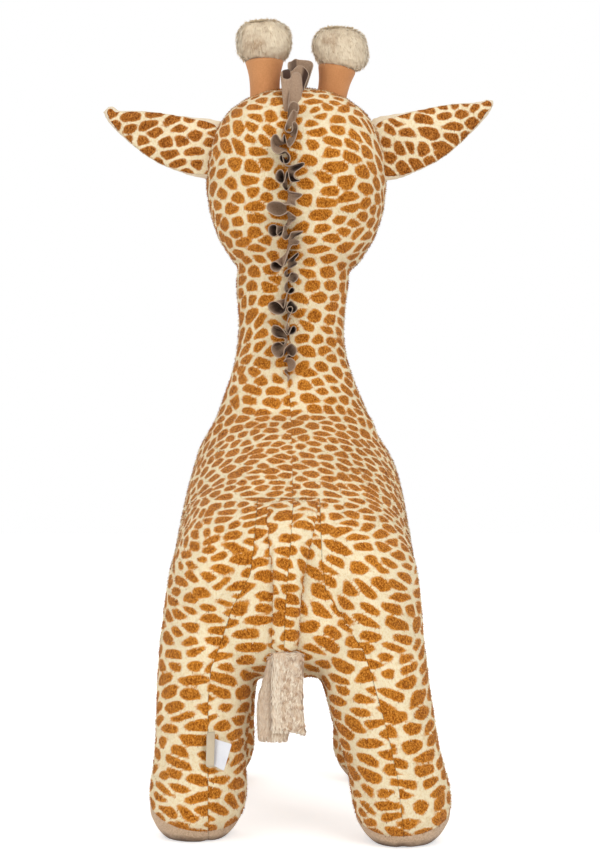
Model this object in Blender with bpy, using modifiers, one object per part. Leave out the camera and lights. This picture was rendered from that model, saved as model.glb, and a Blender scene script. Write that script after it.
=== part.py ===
"""A plush giraffe about one metre tall, standing on four stuffed legs, in metres.

The giraffe faces -Y, its left side is at +X and +Z is up. The origin is on the floor, under the
middle of the whole toy. The soft pieces are coarse cages with a Subdivision Surface, each cut by
its larger neighbours. A steel tube frame stands in channels through the stuffing.
"""

import math

import bmesh
import bpy
import numpy as np
from mathutils import Matrix, Vector
from mathutils.bvhtree import BVHTree

# Clearances and cutting
GAP = 0.0003  # between sewn pieces
CUT_REACH = 0.40  # half side of a block that trims a piece
OVERRUN = 0.02  # how far a bore's cutter runs past the surface that it opens
MERGE_DISTANCE = 0.00001
SHARP_ANGLE = math.radians(40)

# Body
BODY_LENGTH = 0.440
BODY_WIDTH = 0.277
WITHERS_HEIGHT = 0.519
BELLY_HEIGHT = 0.179
RUMP_Y = 0.2605
# Share of the length from the rump, then top, bottom and width as shares of the height and width
BODY_SECTION_SHARES = (
    (0.000, 0.395, 0.164, 0.45),
    (0.034, 0.510, 0.049, 0.80),
    (0.102, 0.582, 0.006, 0.95),
    (0.193, 0.637, 0.000, 1.00),
    (0.557, 0.893, 0.000, 0.985),
    (0.693, 0.991, 0.012, 0.965),
    (0.830, 0.957, 0.063, 0.90),
    (0.932, 0.827, 0.164, 0.70),
    (1.000, 0.669, 0.323, 0.36),
)
BODY_SQUARENESS = 2.5

# Head
HEAD_LENGTH = 0.305
HEAD_WIDTH = 0.2316
HEAD_TOP = 0.903
HEAD_HEIGHT = 0.259
MUZZLE_SEAM_SHARE = 0.74
# Share of the length from the back, then top, bottom, widest height and width as shares
HEAD_SECTION_SHARES = (
    (0.00, 0.753, 0.405, 0.579, 0.39),
    (0.06, 0.896, 0.232, 0.560, 0.71),
    (0.17, 0.977, 0.058, 0.533, 0.925),
    (0.32, 1.000, 0.000, 0.525, 1.00),
    (0.46, 0.985, 0.012, 0.510, 0.960),
    (0.59, 0.895, 0.055, 0.460, 0.820),
    (0.71, 0.735, 0.095, 0.400, 0.645),
    (0.83, 0.635, 0.110, 0.360, 0.575),
    (0.94, 0.585, 0.140, 0.350, 0.520),
    (1.00, 0.480, 0.235, 0.350, 0.290),
)
CROWN_SQUARENESS = 2.6
ROUND_SQUARENESS = 2.0

# Neck
NECK_WIDTH = 0.137
NECK_DEPTH = 0.145
NECK_Y = -0.0945
NECK_SINK = 0.130  # of the neck's root below the withers
NECK_ROOT_HEIGHT = WITHERS_HEIGHT - NECK_SINK
NECK_TUCK_SHARE = 0.232  # of the head's height that the neck's upper end reaches in
NECK_TUCK = NECK_TUCK_SHARE * HEAD_HEIGHT
NECK_LENGTH = HEAD_TOP - HEAD_HEIGHT + NECK_TUCK - NECK_ROOT_HEIGHT
HEAD_OVERHANG = 0.105  # of the head's back behind the neck's middle
HEAD_BACK_Y = NECK_Y + HEAD_OVERHANG
# Share of the length from the root, then width, depth and backward shift as shares of the neck's
NECK_SECTION_SHARES = (
    (0.000, 1.62, 1.500, 0.310),
    (0.098, 1.77, 1.559, 0.240),
    (0.164, 1.70, 1.490, 0.200),
    (0.230, 1.57, 1.393, 0.159),
    (0.363, 1.296, 1.228, 0.090),
    (0.496, 1.086, 1.090, 0.041),
    (0.629, 0.993, 1.007, 0.014),
    (0.762, 1.022, 0.993, 0.000),
    (0.873, 1.058, 0.993, 0.000),
    (1.000, 0.964, 0.910, 0.000),
)

# The neck and head lean a little to one side, as a stuffed toy does
LEAN = 0.005
LEAN_HEIGHT = 0.604
# Share of the lean's height, and sideways shift as a share of the lean
LEAN_SHARES = ((0.70, 0.0), (0.87, 0.7), (1.00, 1.0), (1.29, -0.5), (1.45, -0.6), (1.60, -0.6))

# Legs and hooves
LEG_WIDTH = 0.110
FOOT_LENGTH = 0.122
HIP_SHARE = 0.5  # of the way from the belly up to the withers
LEG_HEIGHT = BELLY_HEIGHT + HIP_SHARE * (WITHERS_HEIGHT - BELLY_HEIGHT)
HIP_X = 0.082
HIND_LEFT_X = 0.112
HIND_RIGHT_X = 0.123
FRONT_LEFT_X = 0.112
FRONT_RIGHT_X = 0.110
HIND_FOOT_Y = 0.2195
HIND_STEP = 0.014  # how far the right hind foot stands behind that, and the left ahead
FRONT_FOOT_Y = -0.1345
SOLE_TRIM = 0.003  # how far the rounded sole is cut flat
HOOF_HEEL = 0.015
HOOF_TOE = 0.058
# Share of the height, then width, depth and backward shift as shares of the leg's width and foot
HIND_SECTION_SHARES = (
    (0.023, 0.855, 0.918, 0.000),
    (0.087, 0.973, 1.000, 0.000),
    (0.159, 1.000, 0.967, 0.000),
    (0.301, 0.935, 0.869, 0.020),
    (0.522, 1.030, 1.016, -0.075),
    (0.725, 1.060, 1.230, -0.250),
    (0.899, 1.000, 1.230, -0.380),
    (1.000, 0.636, 0.820, -0.420),
)
# The right hind leg stands turned a little, so it looks fuller from behind
HIND_RIGHT_SECTION_SHARES = (
    (0.023, 0.855, 0.918, 0.000),
    (0.087, 0.973, 1.000, 0.000),
    (0.159, 1.005, 0.967, 0.000),
    (0.301, 1.000, 0.869, 0.020),
    (0.522, 1.110, 1.016, -0.075),
    (0.725, 1.120, 1.230, -0.250),
    (0.899, 1.000, 1.230, -0.380),
    (1.000, 0.636, 0.820, -0.420),
)
FRONT_SECTION_SHARES = (
    (0.023, 0.855, 0.918, 0.000),
    (0.087, 0.973, 1.000, 0.000),
    (0.159, 1.000, 0.967, 0.000),
    (0.301, 0.955, 0.869, 0.025),
    (0.522, 1.018, 0.902, 0.000),
    (0.725, 1.018, 0.951, 0.082),
    (0.899, 0.909, 0.902, 0.164),
    (1.000, 0.545, 0.574, 0.164),
)
SOLE_SHARE = 0.70  # the rounded bottom's last ring, of the foot
# Share of the height from the foot, and share of the way from the foot in to the hip
SPLAY_SHARES = ((0.0, 0.0), (0.156, 0.10), (0.325, 0.23), (0.5625, 0.45), (0.78, 0.75), (1.0, 1.0))
LATE_SPLAY_SHARES = (
    (0.00, 0.00),
    (0.09, 0.02),
    (0.20, 0.11),
    (0.30, 0.33),
    (0.41, 0.55),
    (0.51, 0.78),
    (0.72, 0.95),
    (1.00, 1.00),
)
# Name, foot centre X, foot centre Y, and the shares of the sections and of the splay
HIND_LEFT_Y = HIND_FOOT_Y - HIND_STEP
HIND_RIGHT_Y = HIND_FOOT_Y + HIND_STEP
LEGS = (
    ("hind_left", HIND_LEFT_X, HIND_LEFT_Y, HIND_SECTION_SHARES, SPLAY_SHARES),
    ("hind_right", -HIND_RIGHT_X, HIND_RIGHT_Y, HIND_RIGHT_SECTION_SHARES, LATE_SPLAY_SHARES),
    ("front_left", FRONT_LEFT_X, FRONT_FOOT_Y, FRONT_SECTION_SHARES, SPLAY_SHARES),
    ("front_right", -FRONT_RIGHT_X, FRONT_FOOT_Y, FRONT_SECTION_SHARES, SPLAY_SHARES),
)

# Ears
EAR_LENGTH = {"left": 0.143, "right": 0.148}
EAR_HEIGHT = {"left": 0.076, "right": 0.083}
EAR_THICKNESS = 0.020
EAR_TUCK = 0.0038  # of the sewn edge inside the head's widest place
EAR_ROOT_X = HEAD_WIDTH / 2 - EAR_TUCK
EAR_SETBACK = 0.025  # behind the neck's middle
EAR_ROOT_Y = NECK_Y + EAR_SETBACK
EAR_DROP = 0.078  # of the sewn edge's middle below the head's top
EAR_ROOT_HEIGHT = HEAD_TOP - EAR_DROP
EAR_RISE = {"left": -0.007, "right": 0.0}  # how much higher the tip stands than in the table
EAR_SWEEP = math.radians(10)
EAR_RANGE = (math.radians(-20), math.radians(35))
EAR_RANGE_STEPS = 2
# Share of the length, then centre height, half height and thickness as shares
EAR_SECTION_SHARES = (
    (-0.06, -0.02, 0.92, 0.30),
    (0.04, 0.00, 1.03, 0.55),
    (0.18, 0.075, 1.02, 0.85),
    (0.36, 0.18, 0.95, 1.00),
    (0.57, 0.33, 0.81, 0.95),
    (0.79, 0.53, 0.487, 0.70),
    (0.93, 0.68, 0.25, 0.40),
    (1.00, 0.80, 0.08, 0.20),
)

# Horns
HORN_SPACING = 0.083
HORN_Y = NECK_Y
HORN_SINK = 0.021  # of the horn's foot below the head's top
HORN_ROOT_HEIGHT = HEAD_TOP - HORN_SINK
HORN_LENGTH = 0.074
HORN_FOOT_WIDTH = 0.037
HORN_TOP_WIDTH = 0.050
HORN_TILT = {"left": math.radians(1), "right": math.radians(11)}
HORN_LIFT = {"left": 0.004, "right": -0.004}
CAP_WIDTH = 0.078
CAP_HEIGHT = 0.060
CAP_SEAT_SHARE = 0.36  # of its height that the cap covers of the horn
HORN_SIDES = 16

# Mane
MANE_HEIGHT = 0.024
FORELOCK_HEIGHT = 0.044
MANE_WAVE = 0.032  # two loops
MANE_SWING = 0.011
MANE_ROOT_SWING = 0.001
MANE_CLOTH = 0.0014
MANE_X = 0.007
FORELOCK_X = -0.007
FORELOCK_SWING_SHARE = 0.5  # of the swing, between the horns
MANE_END_RISE = 0.002  # of its lower end above the body's top
MANE_FRONT_ANGLE = math.radians(98)
MANE_NAPE_ANGLE = math.radians(-38)
MANE_RAYS = 90
MANE_STEPS_PER_WAVE = 9
MANE_ROW_SHARES = (0.0, 0.45, 1.0)
MANE_END_SHARE = 0.12  # of its length over which the height falls to the pointed lower end
MANE_POINT_SHARE = 0.3  # of its height that is left at that end
FORELOCK_SHARE = 0.13

# Tail
TAIL_WIDTH = 0.072
TAIL_THICKNESS = 0.018
TAIL_TOP_ANGLE = math.radians(59)
TAIL_END_ANGLE = math.radians(-38)
TAIL_DRIFT = 0.010
TAIL_CENTRE_DEPTH = 0.105  # of the rump's centre of curvature ahead of its rearmost place
TAIL_CENTRE_Y = RUMP_Y - TAIL_CENTRE_DEPTH
TAIL_CENTRE_RISE = 0.115  # of that centre above the belly
TAIL_CENTRE_HEIGHT = BELLY_HEIGHT + TAIL_CENTRE_RISE
TAIL_SEAM_LIFT = 0.0015  # of the hinge line in the seam above the body's cloth
# Share of the half width, and of the thickness, round one section
TAIL_RING_SHARES = (
    (-1.0, 0.3),
    (-0.6, 0.9),
    (0.0, 1.1),
    (0.6, 0.9),
    (1.0, 0.3),
    (0.6, -0.2),
    (-0.6, -0.2),
)
# Share of the length, then width and thickness as shares of the tail's
TAIL_SECTION_SHARES = (
    (0.00, 0.94, 0.15),
    (0.06, 1.00, 0.30),
    (0.18, 0.97, 0.45),
    (0.34, 0.86, 0.65),
    (0.50, 0.69, 0.80),
    (0.68, 0.57, 0.90),
    (0.86, 0.53, 0.90),
    (0.97, 0.50, 0.75),
    (1.00, 0.40, 0.45),
)
TUFT_LENGTH = 0.098
TUFT_WIDTH = 0.052
TUFT_THICKNESS = 0.016
TUFT_PIN = 0.005  # how far the tuft's rounded top reaches from its sewn edge
TUFT_DRIFT = 0.009
TUFT_SIDES = 8
TUFT_SQUARENESS = 2.6
# Half width and depth of its top ring as shares of the width and the pin, and height of the pin
TUFT_TOP_SHARES = (0.25, 0.25, 0.8)
TUFT_SECTION_SHARES = (
    (0.03, 0.68, 0.45),
    (0.15, 0.78, 0.80),
    (0.40, 0.92, 1.00),
    (0.70, 1.00, 1.00),
    (0.92, 0.96, 0.80),
    (1.00, 0.84, 0.45),
)

# Labels in the back seam of the left hind leg
LABEL_INSET = 0.0164  # of the seam from the leg's middle
LABEL_X = HIND_LEFT_X - LABEL_INSET
LABEL_FOOT_HEIGHT = 0.0842
LABEL_HEIGHT = 0.0414
LOOP_LABEL_LENGTH = 0.016
LOOP_LABEL_PLY = 0.0004
LOOP_LABEL_BULGE = 0.0022
LOOP_LABEL_ROUND_SHARE = 0.6  # the lower, the squarer its fold
LOOP_LABEL_ANGLE = math.radians(48)
CARE_LABEL_LENGTH = 0.027
CARE_LABEL_HEIGHT = 0.036
CARE_LABEL_DROP = 0.004
CARE_LABEL_ANGLE = math.radians(10)
CARE_LABEL_STANDOFF = 0.0010
LABEL_STEPS = 6

# Eyes with their shanks and lock washers
EYE_X = 0.080
EYE_FORWARD = 0.066  # ahead of the neck's middle
EYE_DROP = 0.104
EYE_HEIGHT = HEAD_TOP - EYE_DROP
EYE_WIDTH = 0.026
EYE_BULGE = 0.009
EYE_SINK = 0.0015  # how far the eye presses into the cloth
SHANK_WIDTH = 0.005
SHANK_LENGTH = 0.014
WASHER_WIDTH = 0.018
WASHER_THICKNESS = 0.0015
WASHER_DEPTH = 0.007
EYE_SIDES = 16
EYE_RINGS = 5

# Steel tube frame
TUBE_WIDTH = 0.012
FRAME_DROP = 0.045  # of the crossbars below the legs' tops
FRAME_HEIGHT = LEG_HEIGHT - FRAME_DROP
FRAME_HIND_INSET = 0.080  # of the hind crossbar from the rump
FRAME_HIND_Y = RUMP_Y - FRAME_HIND_INSET
FRAME_FRONT_SETBACK = 0.030  # of the front crossbar behind the front feet
FRAME_FRONT_Y = FRONT_FOOT_Y + FRAME_FRONT_SETBACK
SPINE_OVERHANG = 0.020
FRAME_HEAD_DROP = 0.099
FRAME_HEAD_HEIGHT = HEAD_TOP - FRAME_HEAD_DROP
FRAME_FOOT_HEIGHT = 0.026
TUBE_SIDES = 12

COLOURS = {
    "plush": ((0.56, 0.33, 0.16), 0.95, 0.0),
    "velour": ((0.30, 0.20, 0.13), 0.95, 0.0),
    "tan": ((0.52, 0.23, 0.09), 0.95, 0.0),
    "fur": ((0.70, 0.55, 0.40), 1.0, 0.0),
    "lining": ((0.78, 0.70, 0.58), 0.95, 0.0),
    "felt": ((0.27, 0.18, 0.11), 0.95, 0.0),
    "satin": ((0.62, 0.48, 0.34), 0.6, 0.0),
    "white": ((0.85, 0.85, 0.83), 0.7, 0.0),
    "black": ((0.01, 0.01, 0.01), 0.15, 0.0),
    "plastic": ((0.80, 0.80, 0.78), 0.5, 0.0),
    "steel": ((0.45, 0.46, 0.48), 0.4, 1.0),
}


def clear_scene():
    for ob in list(bpy.data.objects):
        bpy.data.objects.remove(ob, do_unlink=True)


def new_collection(name):
    collection = bpy.data.collections.new(name)
    bpy.context.scene.collection.children.link(collection)
    return collection


def material_for(name, kind):
    colour, roughness, metallic = COLOURS[kind]
    mat = bpy.data.materials.new(name)
    mat.use_nodes = True
    shader = mat.node_tree.nodes["Principled BSDF"]
    shader.inputs["Base Color"].default_value = (*colour, 1.0)
    shader.inputs["Roughness"].default_value = roughness
    shader.inputs["Metallic"].default_value = metallic
    return mat


def add_object(name, mesh, collection, kind=None):
    ob = bpy.data.objects.new(name, mesh)
    collection.objects.link(ob)
    if kind:
        mesh.materials.append(material_for(name, kind))
    return ob


def mesh_from(bm, name):
    bmesh.ops.recalc_face_normals(bm, faces=bm.faces[:])
    mesh = bpy.data.meshes.new(name)
    bm.to_mesh(mesh)
    bm.free()
    mesh.shade_smooth()
    return mesh


def split_caps(bm):
    """Parts each cap into triangles, which stay flat when they are turned and cut."""
    bmesh.ops.triangulate(bm, faces=[face for face in bm.faces if len(face.verts) > 4])


def set_origin(ob, place):
    """Moves the object's origin to a place without moving its mesh."""
    ob.data.transform(Matrix.Translation(-Vector(place)))
    ob.location = place


def subdivide(ob, levels=1):
    smooth = ob.modifiers.new("Stuffing", "SUBSURF")
    smooth.levels = levels
    smooth.render_levels = levels


def cut(ob, cutter, solver="EXACT"):
    ob.modifiers.new("Flat faces", "TRIANGULATE")
    boolean = ob.modifiers.new("Cut by " + cutter.name, "BOOLEAN")
    boolean.operation = "DIFFERENCE"
    boolean.object = cutter
    boolean.solver = solver


def hide_cutter(ob):
    ob.modifiers.new("Flat faces", "TRIANGULATE")
    ob.hide_render = True
    ob.display_type = "WIRE"
    return ob


def swollen(form, name, cutters, turn=None):
    """A cutter one gap larger than a soft form, which may be turned about an axis."""
    ob = add_object(name, form.data.copy(), cutters)
    ob.matrix_world = (turn or Matrix.Identity(4)) @ form.matrix_world
    subdivide(ob)
    grow = ob.modifiers.new("Gap", "DISPLACE")
    grow.strength = GAP
    grow.mid_level = 0.0
    return hide_cutter(ob)


def block_cutter(name, place, tilt, cutters):
    """A block whose top face passes through a place, tipped about X."""
    bm = bmesh.new()
    bmesh.ops.create_cube(bm, size=2 * CUT_REACH)
    ob = add_object(name, mesh_from(bm, name), cutters)
    turn = Matrix.Rotation(tilt, 4, "X")
    ob.matrix_world = Matrix.Translation(place) @ turn @ Matrix.Translation((0, 0, -CUT_REACH))
    return hide_cutter(ob)


def on_line(table, share):
    """The value at a share, read from rows of (share, value) with straight runs between them."""
    return float(np.interp(share, [row[0] for row in table], [row[1] for row in table]))


def lean_at(height):
    return LEAN * on_line(LEAN_SHARES, height / LEAN_HEIGHT)


def spline_controls(values):
    """Control values whose smoothed surface passes through the given ones, with fixed ends."""
    values = np.array(values, dtype=float)
    count = len(values)
    weights = np.zeros((count, count))
    weights[0, 0] = weights[-1, -1] = 1.0
    for i in range(1, count - 1):
        weights[i, i - 1 : i + 2] = (1 / 6, 4 / 6, 1 / 6)
    return np.linalg.solve(weights, values)


def ring_points(centre, across, above, below, sides, top_power, low_power):
    """A ring of cage points round a centre, swollen so that its smoothed curve has the full size."""
    swell = 1.0 / (2 / 3 + math.cos(2 * math.pi / sides) / 3)
    points = []
    for k in range(sides):
        turn = 2 * math.pi * k / sides
        wide, high = math.cos(turn), math.sin(turn)
        power = top_power if high > 0 else low_power
        tall = above if high > 0 else below
        wide = math.copysign(abs(wide) ** (2 / power), wide)
        high = math.copysign(abs(high) ** (2 / power), high)
        points.append(centre + swell * (across * wide + tall * high))
    return points


def loft(rings):
    """A closed bmesh through rings of points."""
    bm = bmesh.new()
    verts = [[bm.verts.new(p) for p in ring] for ring in rings]
    count = len(rings[0])
    for low, high in zip(verts, verts[1:]):
        for k in range(count):
            bm.faces.new((low[k], low[(k + 1) % count], high[(k + 1) % count], high[k]))
    bm.faces.new(verts[0][::-1])
    bm.faces.new(verts[-1])
    return bm


def soft_form(name, sections, collection, kind, sides=12, powers=None, move=None):
    """A stuffed form through sections of (centre, across, above, below), each a vector.

    Powers holds how square each section is above and below, where they aren't plain ellipses.
    Each cage point goes through move, where one is given.
    """
    powers = powers or [(ROUND_SQUARENESS, ROUND_SQUARENESS)] * len(sections)
    table = [[*s[0], *s[1], *s[2], *s[3]] for s in sections]
    rings = []
    for row, power in zip(spline_controls(table), powers):
        centre, across, above, below = (Vector(row[i : i + 3]) for i in (0, 3, 6, 9))
        ring = ring_points(centre, across, above, below, sides, *power)
        rings.append([move(p) for p in ring] if move else ring)
    ob = add_object(name, mesh_from(loft(rings), name), collection, kind)
    subdivide(ob)
    return ob


def plain_form(form, cutters):
    """A copy of a soft form as it is before any cut, for rays and for swollen cutters."""
    ob = add_object(form.name + "_uncut", form.data.copy(), cutters)
    ob.matrix_world = form.matrix_world.copy()
    subdivide(ob)
    return hide_cutter(ob)


def surface_of(forms):
    """One ray target made of the smoothed surfaces of several forms."""
    bpy.context.view_layer.update()
    graph = bpy.context.evaluated_depsgraph_get()
    verts, faces = [], []
    for form in forms:
        mesh = form.evaluated_get(graph).to_mesh()
        start = len(verts)
        verts += [form.matrix_world @ v.co for v in mesh.vertices]
        faces += [[start + i for i in p.vertices] for p in mesh.polygons]
        form.evaluated_get(graph).to_mesh_clear()
    return BVHTree.FromPolygons(verts, faces)


def outermost(surface, inside, direction):
    """Where a ray that comes in from far outside, towards a point inside, first meets the surface."""
    direction = Vector(direction).normalized()
    start = Vector(inside) + direction * (2 * CUT_REACH)
    place, normal, _, _ = surface.ray_cast(start, -direction)
    return place, normal


def body_form(parts):
    sections = []
    for along, top, bottom, width in BODY_SECTION_SHARES:
        rise = WITHERS_HEIGHT - BELLY_HEIGHT
        high, low = BELLY_HEIGHT + top * rise, BELLY_HEIGHT + bottom * rise
        centre = Vector((0, RUMP_Y - along * BODY_LENGTH, (high + low) / 2))
        half = Vector((0, 0, (high - low) / 2))
        sections.append((centre, Vector((BODY_WIDTH * width / 2, 0, 0)), half, half))
    powers = [(BODY_SQUARENESS, BODY_SQUARENESS)] * len(sections)
    return soft_form("body", sections, parts, "plush", powers=powers)


def neck_form(parts):
    sections = []
    for along, width, depth, shift in NECK_SECTION_SHARES:
        height = NECK_ROOT_HEIGHT + along * NECK_LENGTH
        centre = Vector((lean_at(height), NECK_Y + shift * NECK_DEPTH, height))
        half = Vector((0, NECK_DEPTH * depth / 2, 0))
        sections.append((centre, Vector((NECK_WIDTH * width / 2, 0, 0)), half, half))
    return soft_form("neck", sections, parts, "plush", sides=10)


def head_form(name, parts, kind):
    sections = []
    powers = []
    for along, top, bottom, widest, width in HEAD_SECTION_SHARES:
        crown = CROWN_SQUARENESS * width + ROUND_SQUARENESS * (1 - width)
        powers.append((crown, ROUND_SQUARENESS))
        base = HEAD_TOP - HEAD_HEIGHT
        height = base + widest * HEAD_HEIGHT
        centre = Vector((lean_at(height), HEAD_BACK_Y - along * HEAD_LENGTH, height))
        above = Vector((0, 0, (top - widest) * HEAD_HEIGHT))
        below = Vector((0, 0, (widest - bottom) * HEAD_HEIGHT))
        sections.append((centre, Vector((HEAD_WIDTH * width / 2, 0, 0)), above, below))
    return soft_form(name, sections, parts, kind, powers=powers)


def leg_place(height, foot_x, splay):
    """The X of a leg's centre line, from the foot in to the hip."""
    side = math.copysign(1, foot_x)
    inward = on_line(splay, height / LEG_HEIGHT)
    return side * (abs(foot_x) + (HIP_X - abs(foot_x)) * inward)


def leg_form(name, parts, kind, foot_x, foot_y, shares, splay):
    first = (-SOLE_TRIM / LEG_HEIGHT, SOLE_SHARE * shares[0][1], SOLE_SHARE * shares[0][2], 0.0)
    sections = []
    for along, width, depth, shift in (first, *shares):
        height = along * LEG_HEIGHT
        x = leg_place(height, foot_x, splay)
        centre = Vector((x, foot_y + shift * FOOT_LENGTH, height))
        half = Vector((0, FOOT_LENGTH * depth / 2, 0))
        sections.append((centre, Vector((LEG_WIDTH * width / 2, 0, 0)), half, half))
    return soft_form(name, sections, parts, kind, sides=8)


def make_leg(parts, cutters, name, foot_x, foot_y, shares, splay):
    """A leg and its hoof: one form, parted by the slanting plane of the hoof's seam."""
    leg = leg_form("leg_" + name, parts, "plush", foot_x, foot_y, shares, splay)
    hoof = leg_form("hoof_" + name, parts, "velour", foot_x, foot_y, shares, splay)
    slant = math.atan2(HOOF_TOE - HOOF_HEEL, FOOT_LENGTH)
    seam = Vector((foot_x, foot_y, (HOOF_TOE + HOOF_HEEL) / 2))
    cut(leg, block_cutter("below_seam_" + name, seam + Vector((0, 0, GAP)), -slant, cutters))
    cut(hoof, block_cutter("above_seam_" + name, seam, math.pi - slant, cutters))
    cut(hoof, block_cutter("floor_" + name, (foot_x, foot_y, 0), 0, cutters))
    return leg, hoof


def tube(name, start, end, width, collection, kind=None, sides=TUBE_SIDES):
    """A round bar from one place to another, as a closed cylinder."""
    start, end = Vector(start), Vector(end)
    bm = bmesh.new()
    bmesh.ops.create_cone(
        bm,
        cap_ends=True,
        segments=sides,
        radius1=width / 2,
        radius2=width / 2,
        depth=(end - start).length,
    )
    split_caps(bm)
    turn = (end - start).to_track_quat("Z", "Y").to_matrix().to_4x4()
    bmesh.ops.transform(bm, matrix=Matrix.Translation((start + end) / 2) @ turn, verts=bm.verts[:])
    mesh = mesh_from(bm, name)
    mesh.set_sharp_from_angle(angle=SHARP_ANGLE)
    return add_object(name, mesh, collection, kind)


def frame_routes():
    """Name, start and end of each tube of the frame."""
    half = TUBE_WIDTH / 2
    spine_height = FRAME_HEIGHT + TUBE_WIDTH + GAP
    routes = [
        (
            "frame_spine",
            (0, FRAME_FRONT_Y - SPINE_OVERHANG, spine_height),
            (0, FRAME_HIND_Y + SPINE_OVERHANG, spine_height),
        ),
        (
            "frame_neck",
            (0, NECK_Y, spine_height + half + GAP),
            (lean_at(FRAME_HEAD_HEIGHT), NECK_Y, FRAME_HEAD_HEIGHT),
        ),
    ]
    for end, y in (("front", FRAME_FRONT_Y), ("hind", FRAME_HIND_Y)):
        reach = HIP_X + TUBE_WIDTH
        routes.append((f"frame_crossbar_{end}", (-reach, y, FRAME_HEIGHT), (reach, y, FRAME_HEIGHT)))
    for name, foot_x, foot_y, _, _ in LEGS:
        y = FRAME_HIND_Y if "hind" in name else FRAME_FRONT_Y
        bar = Vector((math.copysign(HIP_X, foot_x), y, FRAME_HEIGHT))
        foot = Vector((foot_x, foot_y, FRAME_FOOT_HEIGHT))
        way = (foot - bar).normalized()
        tilt = way.angle(Vector((0, 0, -1)))
        clear = (half + GAP) / math.cos(tilt) + half * math.tan(tilt)
        routes.append((f"frame_leg_{name}", bar + way * clear, foot))
    return routes


def lengthened(start, end, more):
    start, end = Vector(start), Vector(end)
    step = (end - start).normalized() * more
    return start - step, end + step


def make_frame(parts, cutters):
    """The tubes, and for each a channel with a gap round it."""
    channels = {}
    for name, start, end in frame_routes():
        tube(name, start, end, TUBE_WIDTH, parts, "steel")
        start, end = lengthened(start, end, GAP)
        channel = tube("channel_" + name, start, end, TUBE_WIDTH + 2 * GAP, cutters)
        channels[name] = hide_cutter(channel)
    return channels


def ear_turn(side, angle):
    """A turn of an ear about its sewn edge, forwards for a positive angle."""
    root = ear_root(side)
    sign = 1 if side == "left" else -1
    turn = Matrix.Rotation(-sign * angle, 4, "Z")
    return Matrix.Translation(root) @ turn @ Matrix.Translation(-root)


def ear_root(side):
    sign = 1 if side == "left" else -1
    x = lean_at(EAR_ROOT_HEIGHT) + sign * EAR_ROOT_X
    return Vector((x, EAR_ROOT_Y, EAR_ROOT_HEIGHT))


def ear_form(name, side, parts, kind, facing_side):
    """One half of an ear, flat where it meets the other: 1 is the half behind and -1 the lining."""
    sign = 1 if side == "left" else -1
    outward = Vector((sign * math.cos(EAR_SWEEP), -math.sin(EAR_SWEEP), 0))
    facing = Vector((-outward.y * sign, outward.x * sign, 0))
    root = ear_root(side)

    def on_its_side(point):
        depth = (point - root).dot(facing) * facing_side
        return point + facing * (facing_side * max(0.0, GAP / 2 - depth))

    sections = []
    for along, lift, half, thick in EAR_SECTION_SHARES:
        rise = lift * EAR_HEIGHT[side] + max(along, 0) * EAR_RISE[side]
        centre = root + outward * (along * EAR_LENGTH[side]) + Vector((0, 0, rise))
        across = facing * (EAR_THICKNESS * thick / 2)
        tall = Vector((0, 0, EAR_HEIGHT[side] * half / 2))
        sections.append((centre, across, tall, tall))
    return soft_form(name, sections, parts, kind, sides=6, move=on_its_side)


def side_block(name, place, facing, cutters):
    """A block whose one face passes through a place and looks along a direction."""
    bm = bmesh.new()
    bmesh.ops.create_cube(bm, size=2 * CUT_REACH)
    ob = add_object(name, mesh_from(bm, name), cutters)
    turn = Vector(facing).to_track_quat("Z", "Y").to_matrix().to_4x4()
    ob.matrix_world = Matrix.Translation(place) @ turn @ Matrix.Translation((0, 0, -CUT_REACH))
    return hide_cutter(ob)


def make_ear(side, head, parts, cutters):
    """The stuffed spotted back of an ear and its lining, cut clear of the head all through its turn."""
    back = ear_form("ear_" + side, side, parts, "plush", 1)
    lining = ear_form(f"ear_{side}_lining", side, parts, "lining", -1)
    root = ear_root(side)
    for i in range(EAR_RANGE_STEPS + 1):
        angle = EAR_RANGE[0] + (EAR_RANGE[1] - EAR_RANGE[0]) * i / EAR_RANGE_STEPS
        turned = swollen(head, f"head_seen_by_ear_{side}_{i}", cutters, ear_turn(side, -angle))
        cut(back, turned, "MANIFOLD")
        cut(lining, turned, "MANIFOLD")
    for ob in (back, lining):
        set_origin(ob, root)


def horn_place(side):
    sign = 1 if side == "left" else -1
    x = lean_at(HORN_ROOT_HEIGHT) + sign * HORN_SPACING / 2
    return Vector((x, HORN_Y, HORN_ROOT_HEIGHT + HORN_LIFT[side]))


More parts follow.
